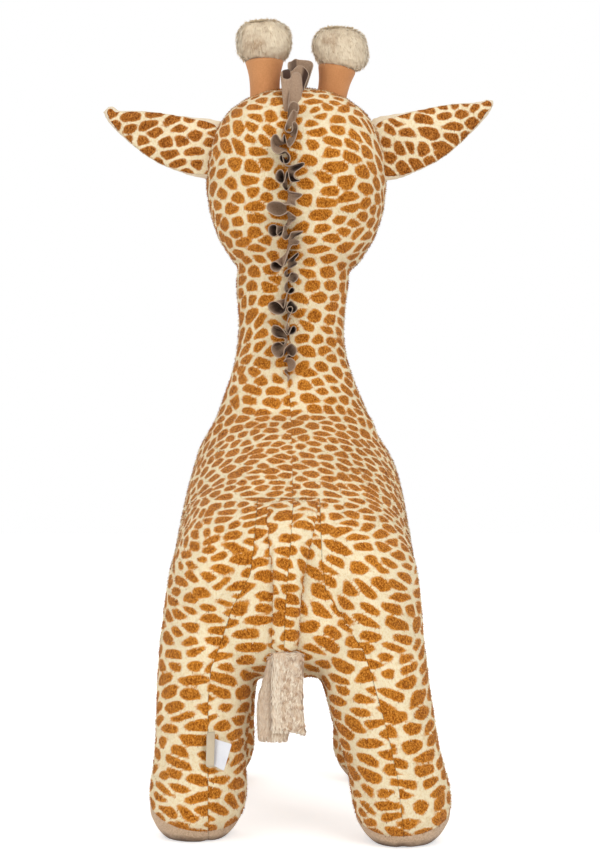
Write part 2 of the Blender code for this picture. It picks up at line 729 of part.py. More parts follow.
def make_horn(side, head, parts, cutters):
    """A velour stalk that widens upwards, with a round fur cap sewn over its top."""
    sign = 1 if side == "left" else -1
    bm = bmesh.new()
    bmesh.ops.create_cone(
        bm,
        cap_ends=True,
        segments=HORN_SIDES,
        radius1=HORN_FOOT_WIDTH / 2,
        radius2=HORN_TOP_WIDTH / 2,
        depth=HORN_LENGTH,
    )
    split_caps(bm)
    turn = Matrix.Rotation(sign * HORN_TILT[side], 4, "Y")
    place = Matrix.Translation(horn_place(side)) @ turn
    up = Matrix.Translation((0, 0, HORN_LENGTH / 2))
    bmesh.ops.transform(bm, matrix=place @ up, verts=bm.verts[:])
    stalk = add_object("horn_" + side, mesh_from(bm, "horn_" + side), parts, "tan")
    bm = bmesh.new()
    bmesh.ops.create_uvsphere(bm, u_segments=HORN_SIDES, v_segments=HORN_SIDES // 2, radius=1)
    shape = Matrix.Diagonal((CAP_WIDTH / 2, CAP_WIDTH / 2, CAP_HEIGHT / 2, 1))
    lift = HORN_LENGTH + (0.5 - CAP_SEAT_SHARE) * CAP_HEIGHT
    raised = Matrix.Translation((0, 0, lift))
    bmesh.ops.transform(bm, matrix=place @ raised @ shape, verts=bm.verts[:])
    cap = add_object("horn_cap_" + side, mesh_from(bm, "horn_cap_" + side), parts, "fur")
    grown = add_object(f"horn_cap_{side}_space", cap.data.copy(), cutters)
    grow = grown.modifiers.new("Gap", "DISPLACE")
    grow.strength = GAP
    grow.mid_level = 0.0
    cut(stalk, hide_cutter(grown))
    cut(stalk, head)


def mane_line(surface):
    """Points and outward directions along the sewn edge, from the forelock down to the withers."""
    centre_height = HEAD_TOP - HEAD_HEIGHT / 2
    line = []
    for i in range(MANE_RAYS + 1):
        share = i / MANE_RAYS
        way = min(1.0, share / (3 * FORELOCK_SHARE))
        centre = Vector((FORELOCK_X + (MANE_X - FORELOCK_X) * way, NECK_Y, centre_height))
        angle = MANE_FRONT_ANGLE + (MANE_NAPE_ANGLE - MANE_FRONT_ANGLE) * share
        place, _ = outermost(surface, centre, (0, math.cos(angle), math.sin(angle)))
        line.append(place)
    start = line[-1].z
    for i in range(1, MANE_RAYS + 1):
        height = start + (WITHERS_HEIGHT + MANE_END_RISE - start) * i / MANE_RAYS
        place, _ = outermost(surface, (MANE_X, NECK_Y, height), (0, 1, 0))
        line.append(place)
    return np.array(line)


def evenly_spaced(line, count):
    """The same line as so many points at even steps of its length, and that length."""
    steps = np.linalg.norm(np.diff(line, axis=0), axis=1)
    along = np.concatenate(([0.0], np.cumsum(steps)))
    wanted = np.linspace(0, along[-1], count)
    points = np.stack([np.interp(wanted, along, line[:, k]) for k in range(3)], axis=1)
    return points, along[-1]


def mane_height(share):
    forelock = max(0.0, 1 - share / FORELOCK_SHARE)
    height = MANE_HEIGHT + (FORELOCK_HEIGHT - MANE_HEIGHT) * math.sqrt(forelock)
    return height * min(1.0, MANE_POINT_SHARE + (1 - MANE_POINT_SHARE) * (1 - share) / MANE_END_SHARE)


def make_mane(surface, parts):
    """A felt strip, gathered so that its free edge waves from side to side in loops."""
    _, length = evenly_spaced(mane_line(surface), 2)
    waves = max(2, round(length / MANE_WAVE))
    points, _ = evenly_spaced(mane_line(surface), waves * MANE_STEPS_PER_WAVE + 1)
    tangents = np.gradient(points, axis=0)
    bm = bmesh.new()
    rows = []
    lift = GAP + MANE_CLOTH / 2
    for i, (point, tangent) in enumerate(zip(points, tangents)):
        share = i / (len(points) - 1)
        outward = Vector((0, -tangent[2], tangent[1])).normalized()
        freedom = FORELOCK_SWING_SHARE + (1 - FORELOCK_SWING_SHARE) * share / (2 * FORELOCK_SHARE)
        swing = math.sin(2 * math.pi * i / MANE_STEPS_PER_WAVE) * min(1.0, freedom)
        row = []
        for up in MANE_ROW_SHARES:
            reach = MANE_ROOT_SWING + (MANE_SWING - MANE_ROOT_SWING) * up
            side = Vector((reach * swing, 0, 0))
            height = lift + up * mane_height(share)
            row.append(bm.verts.new(Vector(point) + outward * height + side))
        rows.append(row)
    for low, high in zip(rows, rows[1:]):
        for k in range(len(MANE_ROW_SHARES) - 1):
            bm.faces.new((low[k], high[k], high[k + 1], low[k + 1]))
    ob = add_object("mane", mesh_from(bm, "mane"), parts, "felt")
    cloth = ob.modifiers.new("Felt", "SOLIDIFY")
    cloth.thickness = MANE_CLOTH
    cloth.offset = 0.0
    return ob


def tail_centre():
    return Vector((0, TAIL_CENTRE_Y, TAIL_CENTRE_HEIGHT))


def make_tail(surface, body, parts):
    """A lightly stuffed flap that lies on the rump and narrows downwards."""
    rings = []
    for along, width, thick in TAIL_SECTION_SHARES:
        angle = TAIL_TOP_ANGLE + (TAIL_END_ANGLE - TAIL_TOP_ANGLE) * along
        direction = Vector((0, math.cos(angle), math.sin(angle)))
        ring = []
        for across, out in TAIL_RING_SHARES:
            x = TAIL_DRIFT * along + across * TAIL_WIDTH * width / 2
            inside = tail_centre() + Vector((x, 0, 0))
            place, _ = outermost(surface, inside, direction)
            ring.append(place + direction * (out * TAIL_THICKNESS * thick))
        rings.append(ring)
    tail = add_object("tail", mesh_from(loft(rings), "tail"), parts, "plush")
    subdivide(tail)
    cut(tail, body)
    direction = Vector((0, math.cos(TAIL_TOP_ANGLE), math.sin(TAIL_TOP_ANGLE)))
    seam, _ = outermost(surface, tail_centre(), direction)
    set_origin(tail, seam + direction * TAIL_SEAM_LIFT)
    return tail


def places_by_height(ob):
    """The vertices of a finished piece in world space, from the lowest to the highest."""
    bpy.context.view_layer.update()
    shape = ob.evaluated_get(bpy.context.evaluated_depsgraph_get())
    places = [ob.matrix_world @ v.co for v in shape.to_mesh().vertices]
    shape.to_mesh_clear()
    return sorted(places, key=lambda place: place.z)


def make_tuft(tail, parts):
    """A folded strip of long fur that hangs just under the tail's lower end, from its rounded top."""
    wide, deep, high = TUFT_TOP_SHARES
    top = []
    for k in range(TUFT_SIDES):
        turn = 2 * math.pi * k / TUFT_SIDES
        x, y = wide * TUFT_WIDTH * math.cos(turn), deep * TUFT_PIN * math.sin(turn)
        top.append(Vector((x, y, high * TUFT_PIN)))
    rings = [top]
    for along, width, thick in TUFT_SECTION_SHARES:
        centre = Vector((TUFT_DRIFT * along, 0, -TUFT_LENGTH * along))
        half = Vector((0, TUFT_THICKNESS * thick / 2, 0))
        across = Vector((TUFT_WIDTH * width / 2, 0, 0))
        square = (TUFT_SQUARENESS, TUFT_SQUARENESS)
        rings.append(ring_points(centre, across, half, half, TUFT_SIDES, *square))
    tuft = add_object("tail_tuft", mesh_from(loft(rings), "tail_tuft"), parts, "fur")
    subdivide(tuft)
    end = places_by_height(tail)[0]
    tuft.location = (TAIL_DRIFT, end.y, end.z - GAP - places_by_height(tuft)[-1].z)


def ribbon(name, line, low, high, ply, parts, kind):
    """A strip of cloth that stands on a line in plan, between two heights."""
    bm = bmesh.new()
    feet = [bm.verts.new((x, y, low(i))) for i, (x, y) in enumerate(line)]
    heads = [bm.verts.new((x, y, high(i))) for i, (x, y) in enumerate(line)]
    for i in range(len(line) - 1):
        bm.faces.new((feet[i], feet[i + 1], heads[i + 1], heads[i]))
    ob = add_object(name, mesh_from(bm, name), parts, kind)
    cloth = ob.modifiers.new("Ply", "SOLIDIFY")
    cloth.thickness = ply
    cloth.offset = 0.0
    return ob


def rear_of_leg(surface, x):
    """The Y of the leg's rearmost cloth beside the labels."""
    low, high = LABEL_FOOT_HEIGHT - CARE_LABEL_DROP, LABEL_FOOT_HEIGHT + LABEL_HEIGHT
    heights = (low, (low + high) / 2, high)
    return max(outermost(surface, (x, HIND_LEFT_Y, z), (0, 1, 0))[0].y for z in heights)


def label_root(surface):
    """Where both labels are sewn into the seam, half way up them and just off the leg."""
    y = rear_of_leg(surface, LABEL_X) + GAP + LOOP_LABEL_PLY
    return Vector((LABEL_X, y, LABEL_FOOT_HEIGHT + LABEL_HEIGHT / 2))


def make_labels(surface, parts):
    """A folded loop of tape, and a flat bare label behind it."""
    root = label_root(surface)
    low = LABEL_FOOT_HEIGHT
    out = Vector((-math.cos(LOOP_LABEL_ANGLE), math.sin(LOOP_LABEL_ANGLE)))
    side = Vector((-out.y, out.x))
    line = []
    for i in range(2 * LABEL_STEPS + 1):
        turn = math.pi * (i / (2 * LABEL_STEPS))
        along = LOOP_LABEL_LENGTH * math.sin(turn) ** LOOP_LABEL_ROUND_SHARE
        bulge = LOOP_LABEL_BULGE * math.cos(turn)
        line.append(root.xy + Vector((0, LOOP_LABEL_BULGE)) + out * along + side * bulge)
    ends = (lambda i: low, lambda i: low + LABEL_HEIGHT)
    set_origin(ribbon("loop_label", line, *ends, LOOP_LABEL_PLY, parts, "satin"), root)
    line = []
    for i in range(LABEL_STEPS + 1):
        along = CARE_LABEL_LENGTH * i / LABEL_STEPS
        x = root.x - LOOP_LABEL_BULGE - along * math.cos(CARE_LABEL_ANGLE)
        line.append((x, rear_of_leg(surface, x) + CARE_LABEL_STANDOFF))
    sag = [CARE_LABEL_DROP * i / LABEL_STEPS for i in range(LABEL_STEPS + 1)]
    ends = (lambda i: low - sag[i], lambda i: low - sag[i] + CARE_LABEL_HEIGHT)
    set_origin(ribbon("care_label", line, *ends, LOOP_LABEL_PLY, parts, "white"), root)


def eye_seat(surface, side):
    """The eye's place on the head and the direction that it looks along."""
    sign = 1 if side == "left" else -1
    centre = Vector((lean_at(EYE_HEIGHT), NECK_Y, EYE_HEIGHT))
    direction = Vector((sign * EYE_X, -EYE_FORWARD, 0))
    return outermost(surface, centre, direction)


def turned(name, profile, sides, collection, kind):
    """A profile of (radius, height) turned round Z."""
    bm = bmesh.new()
    verts = [bm.verts.new((r, 0, z)) for r, z in profile]
    for a, b in zip(verts, verts[1:]):
        bm.edges.new((a, b))
    mesh = bpy.data.meshes.new(name)
    bm.to_mesh(mesh)
    bm.free()
    ob = add_object(name, mesh, collection, kind)
    screw = ob.modifiers.new("Turn", "SCREW")
    screw.axis = "Z"
    screw.steps = sides
    screw.render_steps = sides
    screw.use_merge_vertices = True
    screw.merge_threshold = MERGE_DISTANCE
    screw.use_smooth_shade = True
    return ob


def make_eye(side, surface, parts, cutters):
    """A domed plastic eye with a shank through the cloth, and the washer that locks it inside."""
    place, normal = eye_seat(surface, side)
    turn = normal.to_track_quat("Z", "Y").to_matrix().to_4x4()
    seat = Matrix.Translation(place - normal * EYE_SINK) @ turn
    dome = [(0.0, EYE_BULGE)]
    for i in range(1, EYE_RINGS + 1):
        slope = math.pi / 2 * i / EYE_RINGS
        dome.append((EYE_WIDTH / 2 * math.sin(slope), EYE_BULGE * math.cos(slope)))
    shank = SHANK_WIDTH / 2
    profile = dome + [(shank, 0.0), (shank, -SHANK_LENGTH), (0.0, -SHANK_LENGTH)]
    turned("eye_" + side, profile, EYE_SIDES, parts, "black").matrix_world = seat
    inner, outer = shank + GAP, WASHER_WIDTH / 2
    top, low = -WASHER_DEPTH, -WASHER_DEPTH - WASHER_THICKNESS
    ring = [(inner, top), (outer, top), (outer, low), (inner, low), (inner, top)]
    turned("eye_washer_" + side, ring, EYE_SIDES, parts, "plastic").matrix_world = seat
    bore = tube(
        "bore_eye_" + side,
        seat @ Vector((0, 0, OVERRUN)),
        seat @ Vector((0, 0, -SHANK_LENGTH - GAP)),
        SHANK_WIDTH + 2 * GAP,
        cutters,
    )
    dent = tube(
        "dent_eye_" + side,
        seat @ Vector((0, 0, OVERRUN)),
        seat @ Vector((0, 0, -GAP)),
        EYE_WIDTH + 2 * GAP,
        cutters,
        sides=2 * EYE_SIDES,
    )
    pocket = tube(
        "pocket_eye_" + side,
        seat @ Vector((0, 0, top + GAP)),
        seat @ Vector((0, 0, low - GAP)),
        WASHER_WIDTH + 2 * GAP,
        cutters,
        sides=EYE_SIDES,
    )
    return [hide_cutter(cutter) for cutter in (bore, dent, pocket)]


def make_giraffe():
    clear_scene()
    parts = new_collection("plush_giraffe")
    cutters = new_collection("cutters")
    body = body_form(parts)
    neck = neck_form(parts)
    head = head_form("head", parts, "plush")
    muzzle = head_form("muzzle", parts, "lining")
    plain = [plain_form(form, cutters) for form in (body, neck, head)]
    body_space = swollen(plain[0], "body_space", cutters)
    head_space = swollen(plain[2], "head_space", cutters)
    surface = surface_of(plain)

    seam = Vector((0, HEAD_BACK_Y - MUZZLE_SEAM_SHARE * HEAD_LENGTH, HEAD_TOP - HEAD_HEIGHT / 2))
    channels = make_frame(parts, cutters)
    cut(neck, body_space)
    cut(neck, head_space)
    cut(neck, channels["frame_neck"])
    cut(head, side_block("front_of_seam", seam, (0, 1, 0), cutters))
    cut(muzzle, side_block("behind_seam", seam - Vector((0, GAP, 0)), (0, -1, 0), cutters))
    cut(head, channels["frame_neck"])
    for channel in channels.values():
        cut(body, channel)

    for leg in LEGS:
        limb, hoof = make_leg(parts, cutters, *leg)
        if leg[0] == "hind_left":
            label_surface = surface_of([limb])
        cut(limb, body_space)
        for piece in (limb, hoof):
            cut(piece, channels["frame_leg_" + leg[0]])

    for side in ("left", "right"):
        make_ear(side, plain[2], parts, cutters)
        make_horn(side, head_space, parts, cutters)
        for hole in make_eye(side, surface, parts, cutters):
            cut(head, hole)

    make_mane(surface, parts)
    rump = surface_of(plain[:1])
    make_tuft(make_tail(rump, body_space, parts), parts)
    make_labels(label_surface, parts)


make_giraffe()
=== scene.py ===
"""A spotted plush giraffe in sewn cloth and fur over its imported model, seen from behind.

The giraffe faces -Y, its left side is at +X and +Z is up, in metres.
"""

import math

import bmesh
import bpy
import numpy as np
from mathutils import Matrix, Vector, noise
from mathutils.bvhtree import BVHTree
from mathutils.kdtree import KDTree


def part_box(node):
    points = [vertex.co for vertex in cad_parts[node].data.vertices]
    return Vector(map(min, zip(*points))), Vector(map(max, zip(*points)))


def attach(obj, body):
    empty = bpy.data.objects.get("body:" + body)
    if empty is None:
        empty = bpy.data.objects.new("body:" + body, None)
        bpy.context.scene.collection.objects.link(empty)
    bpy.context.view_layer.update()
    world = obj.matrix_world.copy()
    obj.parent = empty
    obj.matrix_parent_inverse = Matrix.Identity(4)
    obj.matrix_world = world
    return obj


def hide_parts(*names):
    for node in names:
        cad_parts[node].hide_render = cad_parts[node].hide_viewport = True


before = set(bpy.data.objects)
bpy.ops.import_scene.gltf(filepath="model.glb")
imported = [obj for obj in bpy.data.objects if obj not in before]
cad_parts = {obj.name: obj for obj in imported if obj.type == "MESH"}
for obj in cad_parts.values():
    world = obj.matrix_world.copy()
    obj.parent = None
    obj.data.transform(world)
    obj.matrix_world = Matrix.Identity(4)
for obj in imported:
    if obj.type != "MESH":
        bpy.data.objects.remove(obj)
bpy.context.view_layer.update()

# Camera, as in the photograph
PHOTO_SIZE = (600, 867)
PHOTO_MIDDLE = (PHOTO_SIZE[0] / 2, PHOTO_SIZE[1] / 2)
PHOTO_FOCUS = 1830.0  # in pixels
CAMERA_PLACE = Vector((-0.007, 2.2955, 0.4576))
SENSOR = 36.0

# How far the solids grow or shrink before they are joined, how fine the skin is, how often it is evened out
COVER_SWELL, COVER_VOXEL, COVER_PASSES = 0.0012, 0.0058, 14
EAR_SWELL, EAR_VOXEL, EAR_PASSES = 0.0006, 0.0032, 8
TAIL_SWELL, TAIL_VOXEL, TAIL_PASSES = 0.0006, 0.0034, 8
CAP_SWELL, CAP_VOXEL, CAP_PASSES = -0.0030, 0.0042, 4
TUFT_VOXEL, TUFT_PASSES = 0.0022, 3
WELD = 0.00001  # vertices nearer than this are one
NODE_WELD = 0.00002

# Stuffing: how long the cloth fills, its inner pressure, and how far it may move on each piece
FILL_FRAMES = 20
FILL_PRESSURE = 4.0
COVER_FILL, EAR_FILL, TAIL_FILL = 0.0045, 0.0022, 0.0030

# Seeds of what is laid at random
LUMP_SEEDS = {"cover": 1, "left": 5, "right": 8}
PRINT_SEEDS = {"cover": 11, "left": 22, "right": 20, "tail": 31}
PILE_SEEDS = {"cover": 40, "left": 42, "right": 40, "tail": 44}
FUR_SEEDS = {"tuft": 51, "left": 65, "right": 66}

# Seams and places
CENTRE_X = 0.0065  # of the seam under the mane
BACK_SEAM_X = 0.001
CROSS_SEAM_HEIGHT = 0.3835
LEGS = {
    "hind_left": (0.112, 0.2055),
    "hind_right": (-0.123, 0.2335),
    "front_left": (0.112, -0.1345),
    "front_right": (-0.110, -0.1345),
}
HOOF_SEAM_HEIGHT = 0.0345
FOOT_SPAN = (0.08, 0.10)  # how far from a leg's middle its foot is shaped, sideways and lengthways
FOOT_CUT_SPAN = (0.085, 0.10)  # the same, for the cut between leg and hoof
FOOT_TOP = 0.085
HOOF_SLANT = math.atan2(0.043, 0.122)
HOOF_CANT = math.atan2(0.016, 0.100)  # the seam is lower on the inside of the foot
CANT_SHARES = {"hind_right": 0.5}  # of that cant, where it isn't all of it
MUZZLE_SEAM_Y = -0.2152
EAR_ROOTS = {"left": Vector((0.10926, -0.0695, 0.825)), "right": Vector((-0.11474, -0.0695, 0.825))}
EAR_SWEEP = math.radians(10)
EAR_TIPS = {"left": (111.5, 112.0), "right": (486.5, 105.5)}  # pixels of the photograph
EAR_REACH = 0.13  # from its root to its tip
EAR_SEAM = 0.0042  # how far behind the ear's middle its lining ends, so that it shows as a pale edge
HORNS = {
    "left": (Vector((0.0385, -0.0945, 0.886)), math.radians(1)),
    "right": (Vector((-0.0445, -0.0945, 0.878)), math.radians(-11)),
}
CAP_PATCHES = {"left": ((252, 40), 1.1), "right": ((333, 40), 0.6)}  # a darker place: its pixel, how much
TAIL_DRIFT_X = 0.010  # of the tail's lower end from its upper one
STRAND_MAP = "OFBake"  # the name of the strands' own UV map, which the export keeps

# Seams of the hind legs, in pixels of the photograph
HIND_SEAMS = {
    "left": [
        (257, 508), (254, 545), (250, 575), (240, 594), (233, 606), (226, 627), (219, 648),
        (211, 668), (208, 700), (208, 760), (208, 832),
    ],
    "right": [
        (320, 508), (322, 560), (326, 592), (342, 616), (356, 640), (363, 650), (371, 673),
        (377, 695), (383, 716), (390, 744), (397, 775), (399, 791), (404, 832),
    ],
}


def srgb(red, green, blue):
    """A colour as a photograph gives it, from 0 to 255, made linear."""
    parts = [value / 255 for value in (red, green, blue)]
    return tuple(p / 12.92 if p < 0.04045 else ((p + 0.055) / 1.055) ** 2.4 for p in parts)


BROWNS = (srgb(134, 68, 8), srgb(192, 115, 27), srgb(224, 150, 58))
# A darker copy of the spots' browns, as painted shade on the ears.
SHADED_EAR_BROWNS = (srgb(108, 52, 8), srgb(168, 98, 28), srgb(204, 132, 58))
CREAM_LIGHT = srgb(252, 237, 202)
CREAM_SHADE = srgb(239, 212, 161)
TAN = srgb(217, 155, 103)
TAN_DARK = srgb(196, 134, 85)
TUFT_LIGHT = srgb(255, 243, 222)
FUR_LIGHT = srgb(253, 240, 214)
FUR_SHADE = srgb(200, 170, 136)
LINING = srgb(238, 223, 198)
LINING_SHADE = srgb(216, 196, 165)


# Meshes
def new_piece(name, mesh, *materials):
    ob = bpy.data.objects.new(name, mesh)
    bpy.context.scene.collection.objects.link(ob)
    for material in materials:
        mesh.materials.append(material)
    mesh.shade_smooth()
    return ob


def mesh_of(bm, name):
    mesh = bpy.data.meshes.new(name)
    bm.to_mesh(mesh)
    bm.free()
    return mesh


def finish_piece(ob, body, nodes):
    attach(ob, body)
    if nodes:
        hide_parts(*nodes)


def bmesh_of(ob):
    bm = bmesh.new()
    bm.from_mesh(ob.data)
    return bm


def put_back(bm, ob):
    bm.to_mesh(ob.data)
    bm.free()


def whole(bm):
    """All that a bisect cuts."""
    return bm.verts[:] + bm.edges[:] + bm.faces[:]


def turned(rows, steps):
    """A profile of (radius, height) turned round Z."""
    bm = bmesh.new()
    verts = [bm.verts.new((radius, 0, height)) for radius, height in rows]
    for a, b in zip(verts, verts[1:]):
        bm.edges.new((a, b))
    bmesh.ops.spin(bm, geom=bm.verts[:] + bm.edges[:], cent=(0, 0, 0), axis=(0, 0, 1),
                   angle=2 * math.pi, steps=steps, use_merge=True)
    return bm


def set_in_place(bm, matrix):
    """Turns the faces outwards and moves the shape to where it is worn."""
    bmesh.ops.recalc_face_normals(bm, faces=bm.faces[:])
    bmesh.ops.transform(bm, matrix=matrix, verts=bm.verts[:])


def thickened(ob, name, thickness, offset=0.0):
    """Gives a cloth its thickness, and smooths it."""
    ply = ob.modifiers.new(name, "SOLIDIFY")
    ply.thickness = thickness
    ply.offset = offset
    finer(ob)


def settled(ob):
    """Applies the modifiers of a piece."""
    bpy.context.view_layer.update()
    graph = bpy.context.evaluated_depsgraph_get()
    mesh = bpy.data.meshes.new_from_object(ob.evaluated_get(graph))
    ob.modifiers.clear()
    old = ob.data
    ob.data = mesh
    bpy.data.meshes.remove(old)
    ob.data.shade_smooth()


def places_of(ob):
    co = np.empty(len(ob.data.vertices) * 3)
    ob.data.vertices.foreach_get("co", co)
    return co.reshape(-1, 3)


def normals_of(ob):
    co = np.empty(len(ob.data.vertices) * 3)
    ob.data.vertices.foreach_get("normal", co)
    return co.reshape(-1, 3)


def set_places(ob, places):
    ob.data.vertices.foreach_set("co", places.ravel())
    ob.data.update()


def edges_of(ob):
    ends = np.empty(len(ob.data.edges) * 2, dtype=np.int64)
    ob.data.edges.foreach_get("vertices", ends)
    return ends.reshape(-1, 2)


def shapes_joined(name, nodes, swell):
    """A merged copy of several solids, each grown so that neighbours overlap, or shrunk under its fur."""
    bm = bmesh.new()
    for node in nodes:
        part = bmesh.new()
        part.from_mesh(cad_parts[node].data)
        bmesh.ops.remove_doubles(part, verts=part.verts[:], dist=NODE_WELD)
        part.normal_update()
        for vert in part.verts:
            vert.co += vert.normal * swell
        copy = bpy.data.meshes.new(node + "_copy")
        part.to_mesh(copy)
        part.free()
        bm.from_mesh(copy)
        bpy.data.meshes.remove(copy)
    return new_piece(name, mesh_of(bm, name))


def recut(ob, size):
    """One even closed skin of small squares over all that the piece holds."""
    cloth = ob.modifiers.new("Skin", "REMESH")
    cloth.mode = "VOXEL"
    cloth.voxel_size = size
    cloth.adaptivity = 0.0
    settled(ob)
    bm = bmesh_of(ob)
    left = set(bm.verts)
    islands = []
    while left:
        heap = [left.pop()]
        island = [heap[0]]
        while heap:
            for edge in heap.pop().link_edges:
                for vert in edge.verts:
                    if vert in left:
                        left.remove(vert)
                        heap.append(vert)
                        island.append(vert)
        islands.append(island)
    islands.sort(key=len)
    for island in islands[:-1]:
        bmesh.ops.delete(bm, geom=island, context="VERTS")
    put_back(bm, ob)


def faired(ob, passes, give=0.5, take=-0.52, held=None):
    """Evens out the skin without letting it shrink."""
    ends = edges_of(ob)
    co = places_of(ob)
    count = np.bincount(ends.ravel(), minlength=len(co))[:, None]
    free = np.ones((len(co), 1)) if held is None else 1.0 - held[:, None]
    for _ in range(passes):
        for step in (give, take):
            total = np.zeros_like(co)
            for axis in range(3):
                total[:, axis] = np.bincount(ends[:, 0], co[ends[:, 1], axis], len(co))
                total[:, axis] += np.bincount(ends[:, 1], co[ends[:, 0], axis], len(co))
            co += free * step * (total / count - co)
    set_places(ob, co)


def stuffed(ob, held, most):
    """Fills the cloth like a pillow, while the held places stay and nothing moves further than most."""
    before = places_of(ob)
    group = ob.vertex_groups.new(name="sewn")
    for level in np.unique(np.round(held, 1)):
        if level > 0:
            group.add([int(i) for i in np.flatnonzero(np.round(held, 1) == level)], float(level), "REPLACE")
    cloth = ob.modifiers.new("Cloth", "CLOTH")
    cloth.settings.quality = 4
    cloth.settings.use_pressure = True
    cloth.settings.uniform_pressure_force = FILL_PRESSURE
    cloth.settings.effector_weights.gravity = 0
    cloth.settings.vertex_group_mass = "sewn"
    cloth.collision_settings.use_collision = False
    cloth.collision_settings.use_self_collision = False
    scene = bpy.context.scene
    for number in range(1, FILL_FRAMES + 1):
        scene.frame_set(number)
    settled(ob)
    scene.frame_set(1)
    ob.vertex_groups.clear()
    moved = places_of(ob) - before
    length = np.linalg.norm(moved, axis=1, keepdims=True)
    moved *= np.minimum(1.0, most / np.maximum(length, 1e-9))
    set_places(ob, before + moved)


def finer(ob):
    level = ob.modifiers.new("Finer", "SUBSURF")
    level.levels = 1
    level.render_levels = 1
    settled(ob)


def ray_target(ob):
    return BVHTree.FromObject(ob, bpy.context.evaluated_depsgraph_get())


def seen_at(target, column, row):
    """Where the camera meets a piece, at a pixel of the photograph."""
    across, up = PHOTO_MIDDLE[0] - column, PHOTO_MIDDLE[1] - row
    way = Vector((across / PHOTO_FOCUS, -1.0, up / PHOTO_FOCUS))
    return target.ray_cast(CAMERA_PLACE, way.normalized())[0]


def unseen(column, row, y):
    """The place at a depth that shows at a pixel of the photograph."""
    away = (CAMERA_PLACE.y - y) / PHOTO_FOCUS
    x = CAMERA_PLACE.x + (PHOTO_MIDDLE[0] - column) * away
    return Vector((x, y, CAMERA_PLACE.z + (PHOTO_MIDDLE[1] - row) * away))


def tree_of(points):
    tree = KDTree(len(points))
    for i, point in enumerate(points):
        tree.insert(point, i)
    tree.balance()
    return tree


def smooth_step(low, high, value):
    share = np.clip((value - low) / (high - low), 0.0, 1.0)
    return share * share * (3 - 2 * share)


# Shaders
class Wiring:
    """Short words for the nodes of one material or group."""

    def __init__(self, tree):
        self.tree = tree

    def add(self, kind, inputs=(), **settings):
        node = self.tree.nodes.new(kind)
        for key, value in settings.items():
            setattr(node, key, value)
        for key, value in dict(inputs).items():
            self.join(value, node.inputs[key])
        return node

    def join(self, value, socket):
        if isinstance(value, bpy.types.NodeSocket):
            self.tree.links.new(value, socket)
        else:
            socket.default_value = value

    def maths(self, operation, first, second=0.0, third=0.0):
        node = self.add("ShaderNodeMath", {0: first, 1: second, 2: third}, operation=operation)
        return node.outputs[0]

    def grain(self, place, scale, detail=2.0, roughness=0.5):
        inputs = {"Vector": place, "Scale": scale, "Detail": detail, "Roughness": roughness}
        return self.add("ShaderNodeTexNoise", inputs).outputs[0]

    def stirred(self, value, grains, amount):
        """The value, moved up and down by a noise."""
        return self.maths("MULTIPLY_ADD", self.maths("SUBTRACT", grains, 0.5), amount, value)

    def weighed(self, first, share, second, rest):
        return self.maths("MULTIPLY_ADD", first, share, self.maths("MULTIPLY", second, rest))

    def span(self, value, low, high, start=0.0, end=1.0, smooth=False):
        node = self.add("ShaderNodeMapRange", {0: value, 1: low, 2: high, 3: start, 4: end})
        if smooth:
            node.interpolation_type = "SMOOTHSTEP"
        return node.outputs[0]

    def mixed(self, share, first, second, blend="MIX"):
        node = self.add("ShaderNodeMix", data_type="RGBA", blend_type=blend)
        for key, value in ((0, share), (6, first), (7, second)):
            if isinstance(value, tuple) and len(value) == 3:
                value = (*value, 1.0)
            self.join(value, node.inputs[key])
        return node.outputs[2]

    def stretched(self, place, scale):
        return self.add("ShaderNodeMapping", {"Vector": place, "Scale": scale}).outputs[0]

    def grey(self, value):
        """The same value as a colour."""
        node = self.add("ShaderNodeCombineColor")
        for channel in range(3):
            self.join(value, node.inputs[channel])
        return node.outputs[0]

    def blend_value(self, share, first, second):
        return self.add("ShaderNodeMix", {0: share, 2: first, 3: second}, data_type="FLOAT").outputs[0]

    def own_place(self):
        return self.add("ShaderNodeTexCoord").outputs["Object"]

    def height_of(self, place):
        return self.add("ShaderNodeSeparateXYZ", {0: place}).outputs[2]

    def painted(self, name):
        return self.add("ShaderNodeAttribute", attribute_name=name).outputs["Fac"]

    def strand_map(self):
        """A strand's own shade, and the share of the way from its root to its tip."""
        uv = self.add("ShaderNodeUVMap", uv_map=STRAND_MAP).outputs[0]
        return self.add("ShaderNodeSeparateXYZ", {0: uv}).outputs

    def in_view(self):
        """1 for what the camera sees, straight, mirrored or through a clear piece, and 0 for other light."""
        path = self.add("ShaderNodeLightPath").outputs
        bounced = self.maths("MAXIMUM", path["Is Glossy Ray"], path["Is Transmission Ray"])
        return self.maths("MAXIMUM", path["Is Camera Ray"], bounced)


def new_group(name, inputs, outputs):
    """A shader node group; inputs and outputs are (name, kind, default)."""
    tree = bpy.data.node_groups.new(name, "ShaderNodeTree")
    for label, kind, default in inputs:
        socket = tree.interface.new_socket(label, in_out="INPUT", socket_type=kind)
        socket.default_value = default
    for label, kind in outputs:
        tree.interface.new_socket(label, in_out="OUTPUT", socket_type=kind)
    wiring = Wiring(tree)
    return wiring, wiring.add("NodeGroupInput").outputs, wiring.add("NodeGroupOutput").inputs


